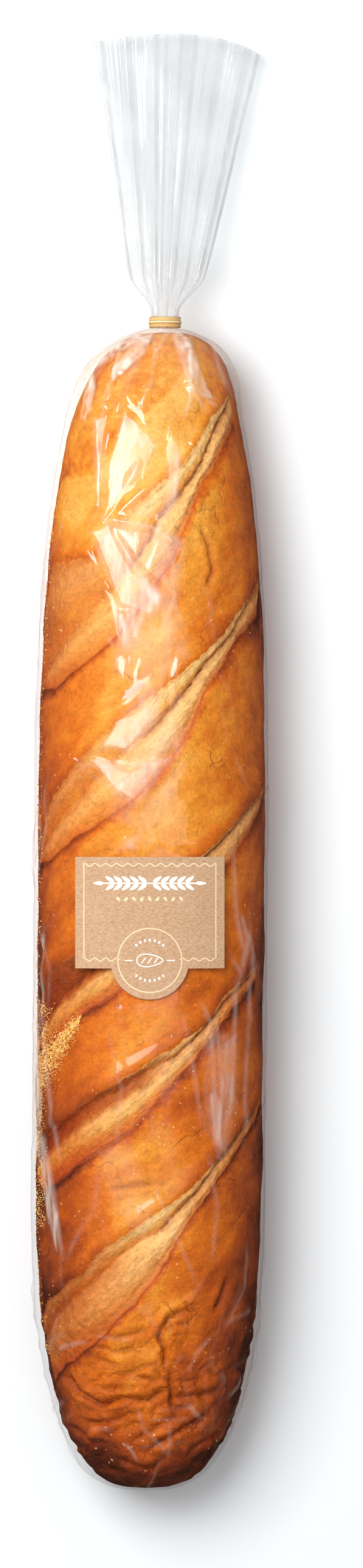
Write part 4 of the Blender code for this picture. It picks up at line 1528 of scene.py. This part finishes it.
class LOAF_OT_label(bpy.types.Operator):
    """Make the kraft label with its round tab and its printed ornament"""

    bl_idname = "loaf.label"
    bl_label = "Label"

    def execute(self, context):
        trim = settings("trim")
        mesh = bmesh.new()
        sheet_outline(mesh)
        reach = math.sqrt(TAB_RADIUS**2 - (LABEL_BOTTOM_Y - TAB_Y) ** 2)
        places = [LABEL_LOW.x + 0.001 * i for i in range(1, LABEL_STRIPS + 1)]
        slice_across(mesh, sorted(places + [LABEL_X - reach, LABEL_X + reach]))
        bmesh.ops.remove_doubles(mesh, verts=mesh.verts, dist=2e-6)
        lay_on_crown(mesh, LABEL_LIFT)
        bmesh.ops.recalc_face_normals(mesh, faces=mesh.faces)
        raised = bmesh.ops.extrude_face_region(mesh, geom=mesh.faces[:])
        top = [item for item in raised["geom"] if isinstance(item, bmesh.types.BMVert)]
        bmesh.ops.translate(mesh, verts=top, vec=(0, 0, LABEL_THICKNESS))
        bmesh.ops.recalc_face_normals(mesh, faces=mesh.faces)
        label = object_from(mesh, "paper_label")
        label.data.set_sharp_from_angle(angle=math.radians(40))
        add_piece(label, kraft_material(), "kraft", "label")
        white = bmesh.new()
        for side, heading in ((-1, 0.0), (1, math.pi)):
            x, y = LABEL_X + side * 0.0005, LABEL_TOP_Y - 0.0100
            wheat_ear(white, x, y, heading, pairs=5, size=0.0050)
        tab_ornament(white)
        printed_piece("white_print", white, "white ink", trim.white_ink)
        pale = bmesh.new()
        border_lines(pale)
        small_leaves(pale)
        printed_piece("pale_print", pale, "pale ink", trim.pale_ink)
        return {"FINISHED"}


# Semolina


def grain_places(body, count):
    """Turn and y of each grain: thick along the third cut's left end, thin down the left edge."""
    draw = np.random.default_rng(11)
    share, run = draw.uniform(0, 1, count), draw.uniform(0, 1, count) ** 0.8
    side = draw.normal(0, 1, count)
    band_x = mix(-0.0262, -0.0400, run) + side * mix(0.0008, 0.0020, run)
    band_y = mix(-0.0990, -0.1180, run) + draw.normal(0, 1, count) * mix(0.0012, 0.0048, run)
    rim_x, rim_y = -0.0405 + 0.0011 * side, mix(-0.092, -0.126, run)
    edge_x, edge_y = -0.0413 + 0.0010 * side, -0.125 - 0.055 * run**1.5
    parts = [share < 0.50, share < 0.68, share < 0.84]
    x = np.select(parts, [band_x, rim_x, edge_x], 0)
    y = np.select(parts, [band_y, rim_y, edge_y], 0)
    turn = body.turn_at(x, y, 0.985)
    below = share > 0.84
    turn = np.where(below, -1.54 + 0.25 * run**2, turn)
    y = np.where(below, draw.uniform(-0.23, 0.10, count), y)
    return turn, y, draw


class LOAF_OT_semolina(bpy.types.Operator):
    """Scatter the toasted semolina that clings to the loaf"""

    bl_idname = "loaf.semolina"
    bl_label = "Semolina"

    def execute(self, context):
        trim = settings("trim")
        count = trim.grain_count
        body = loaf_body()
        turn, y, draw = grain_places(body, count)
        angle = np.arccos(power(np.sin(turn), CROWN_POWER / 2))
        points, _, outward = loaf_points(body, angle, y)
        sizes = trim.grain_size * draw.uniform(*GRAIN_SIZES, count)
        turns = draw.uniform(0, math.tau, (count, 3))
        seats = points + outward * sizes[:, None] * 0.7
        one = bmesh.new()
        squashed = Matrix.Diagonal((*GRAIN_SHAPE, 1.0))
        bmesh.ops.create_icosphere(one, subdivisions=1, radius=1.0, matrix=squashed)
        shape = np.array([vert.co for vert in one.verts])
        corners = np.array([[vert.index for vert in face.verts] for face in one.faces])
        one.free()
        turned = [shape @ np.array(Euler(angles).to_matrix()) for angles in turns]
        verts = (np.array(turned) * sizes[:, None, None] + seats[:, None, :]).reshape(-1, 3)
        faces = (corners[None] + (np.arange(count) * len(shape))[:, None, None]).reshape(-1, 3)
        data = bpy.data.meshes.new("semolina")
        data.from_pydata(verts.tolist(), [], faces.tolist())
        grains = shown_object("semolina", data)
        add_piece(grains, semolina_material(), "semolina")
        return {"FINISHED"}


# Stage


class LOAF_OT_stage(bpy.types.Operator):
    """Make the floor, the lights and the camera straight above"""

    bl_idname = "loaf.stage"
    bl_label = "Stage"

    def softbox(self, scene, name, place, size, power):
        light = bpy.data.lights.new(name, "AREA")
        light.shape = "RECTANGLE"
        light.size, light.size_y = size
        light.energy = power
        light.color = KEY_COLOUR
        box = bpy.data.objects.new(name, light)
        box.location = place
        box.rotation_euler = (LIGHT_AIM - box.location).to_track_quat("-Z", "Y").to_euler()
        box.visible_camera = False
        scene.collection.objects.link(box)
        return box

    def execute(self, context):
        stage = settings("stage")
        scene = context.scene
        mesh = bmesh.new()
        bmesh.ops.create_grid(mesh, x_segments=4, y_segments=4, size=20)
        floor = object_from(mesh, "floor", smooth=False)
        floor.data.materials.append(floor_material())
        floor.visible_glossy = False

        world = bpy.data.worlds.new("even fill")
        world.use_nodes = True
        background = world.node_tree.nodes["Background"]
        background.inputs["Color"].default_value = (1.0, 1.0, 1.0, 1.0)
        background.inputs["Strength"].default_value = stage.fill
        scene.world = world
        world.cycles_visibility.glossy = False

        key = self.softbox(scene, "key", KEY_PLACE, KEY_SIZE, stage.key_power)
        key.visible_glossy = False
        mirrored = (
            self.softbox(scene, "glint", GLINT_PLACE, GLINT_SIZE, stage.glint_power),
            self.softbox(scene, "canopy", CANOPY_PLACE, CANOPY_SIZE, stage.canopy_power),
        )
        for panel in mirrored:
            panel.data.color = GLINT_COLOUR
            panel.visible_diffuse = False
            panel.visible_transmission = False

        lens = bpy.data.cameras.new("camera")
        lens.sensor_width = 36
        lens.lens = lens.sensor_width * (CAMERA_PLACE.z - WIDEST_Z) / stage.view_height
        lens.clip_start, lens.clip_end = 0.05, 60
        camera = bpy.data.objects.new("camera", lens)
        camera.location = CAMERA_PLACE
        scene.collection.objects.link(camera)
        scene.camera = camera
        scene.view_settings.view_transform = "Standard"
        return {"FINISHED"}


OPERATORS = (LOAF_OT_bread, LOAF_OT_bag, LOAF_OT_tie, LOAF_OT_label, LOAF_OT_semolina, LOAF_OT_stage)


class LOAF_PT_panel(bpy.types.Panel):
    """Lists the loaf's pieces in the 3D view's sidebar"""

    bl_idname = "LOAF_PT_panel"
    bl_label = "Bagged French Loaf"
    bl_space_type = "VIEW_3D"
    bl_region_type = "UI"
    bl_category = "Loaf"

    def draw(self, context):
        for operator in OPERATORS:
            self.layout.operator(operator.bl_idname)
        for name, group in SETTINGS.items():
            box = self.layout.box()
            box.label(text=name.capitalize())
            for setting in group.__annotations__:
                box.prop(settings(name), setting)


def register():
    for group in SETTINGS.values():
        bpy.utils.register_class(group)
    for operator in OPERATORS:
        bpy.utils.register_class(operator)
    bpy.utils.register_class(LOAF_PT_panel)
    for name, group in SETTINGS.items():
        setattr(bpy.types.Scene, "loaf_" + name, PointerProperty(type=group))


def unregister():
    for name in SETTINGS:
        delattr(bpy.types.Scene, "loaf_" + name)
    bpy.utils.unregister_class(LOAF_PT_panel)
    for operator in reversed(OPERATORS):
        bpy.utils.unregister_class(operator)
    for group in reversed(list(SETTINGS.values())):
        bpy.utils.unregister_class(group)


def main():
    register()
    bpy.ops.loaf.bread()
    bpy.ops.loaf.bag()
    bpy.ops.loaf.tie()
    bpy.ops.loaf.label()
    bpy.ops.loaf.semolina()
    bpy.ops.loaf.stage()


if __name__ == "__main__":
    main()
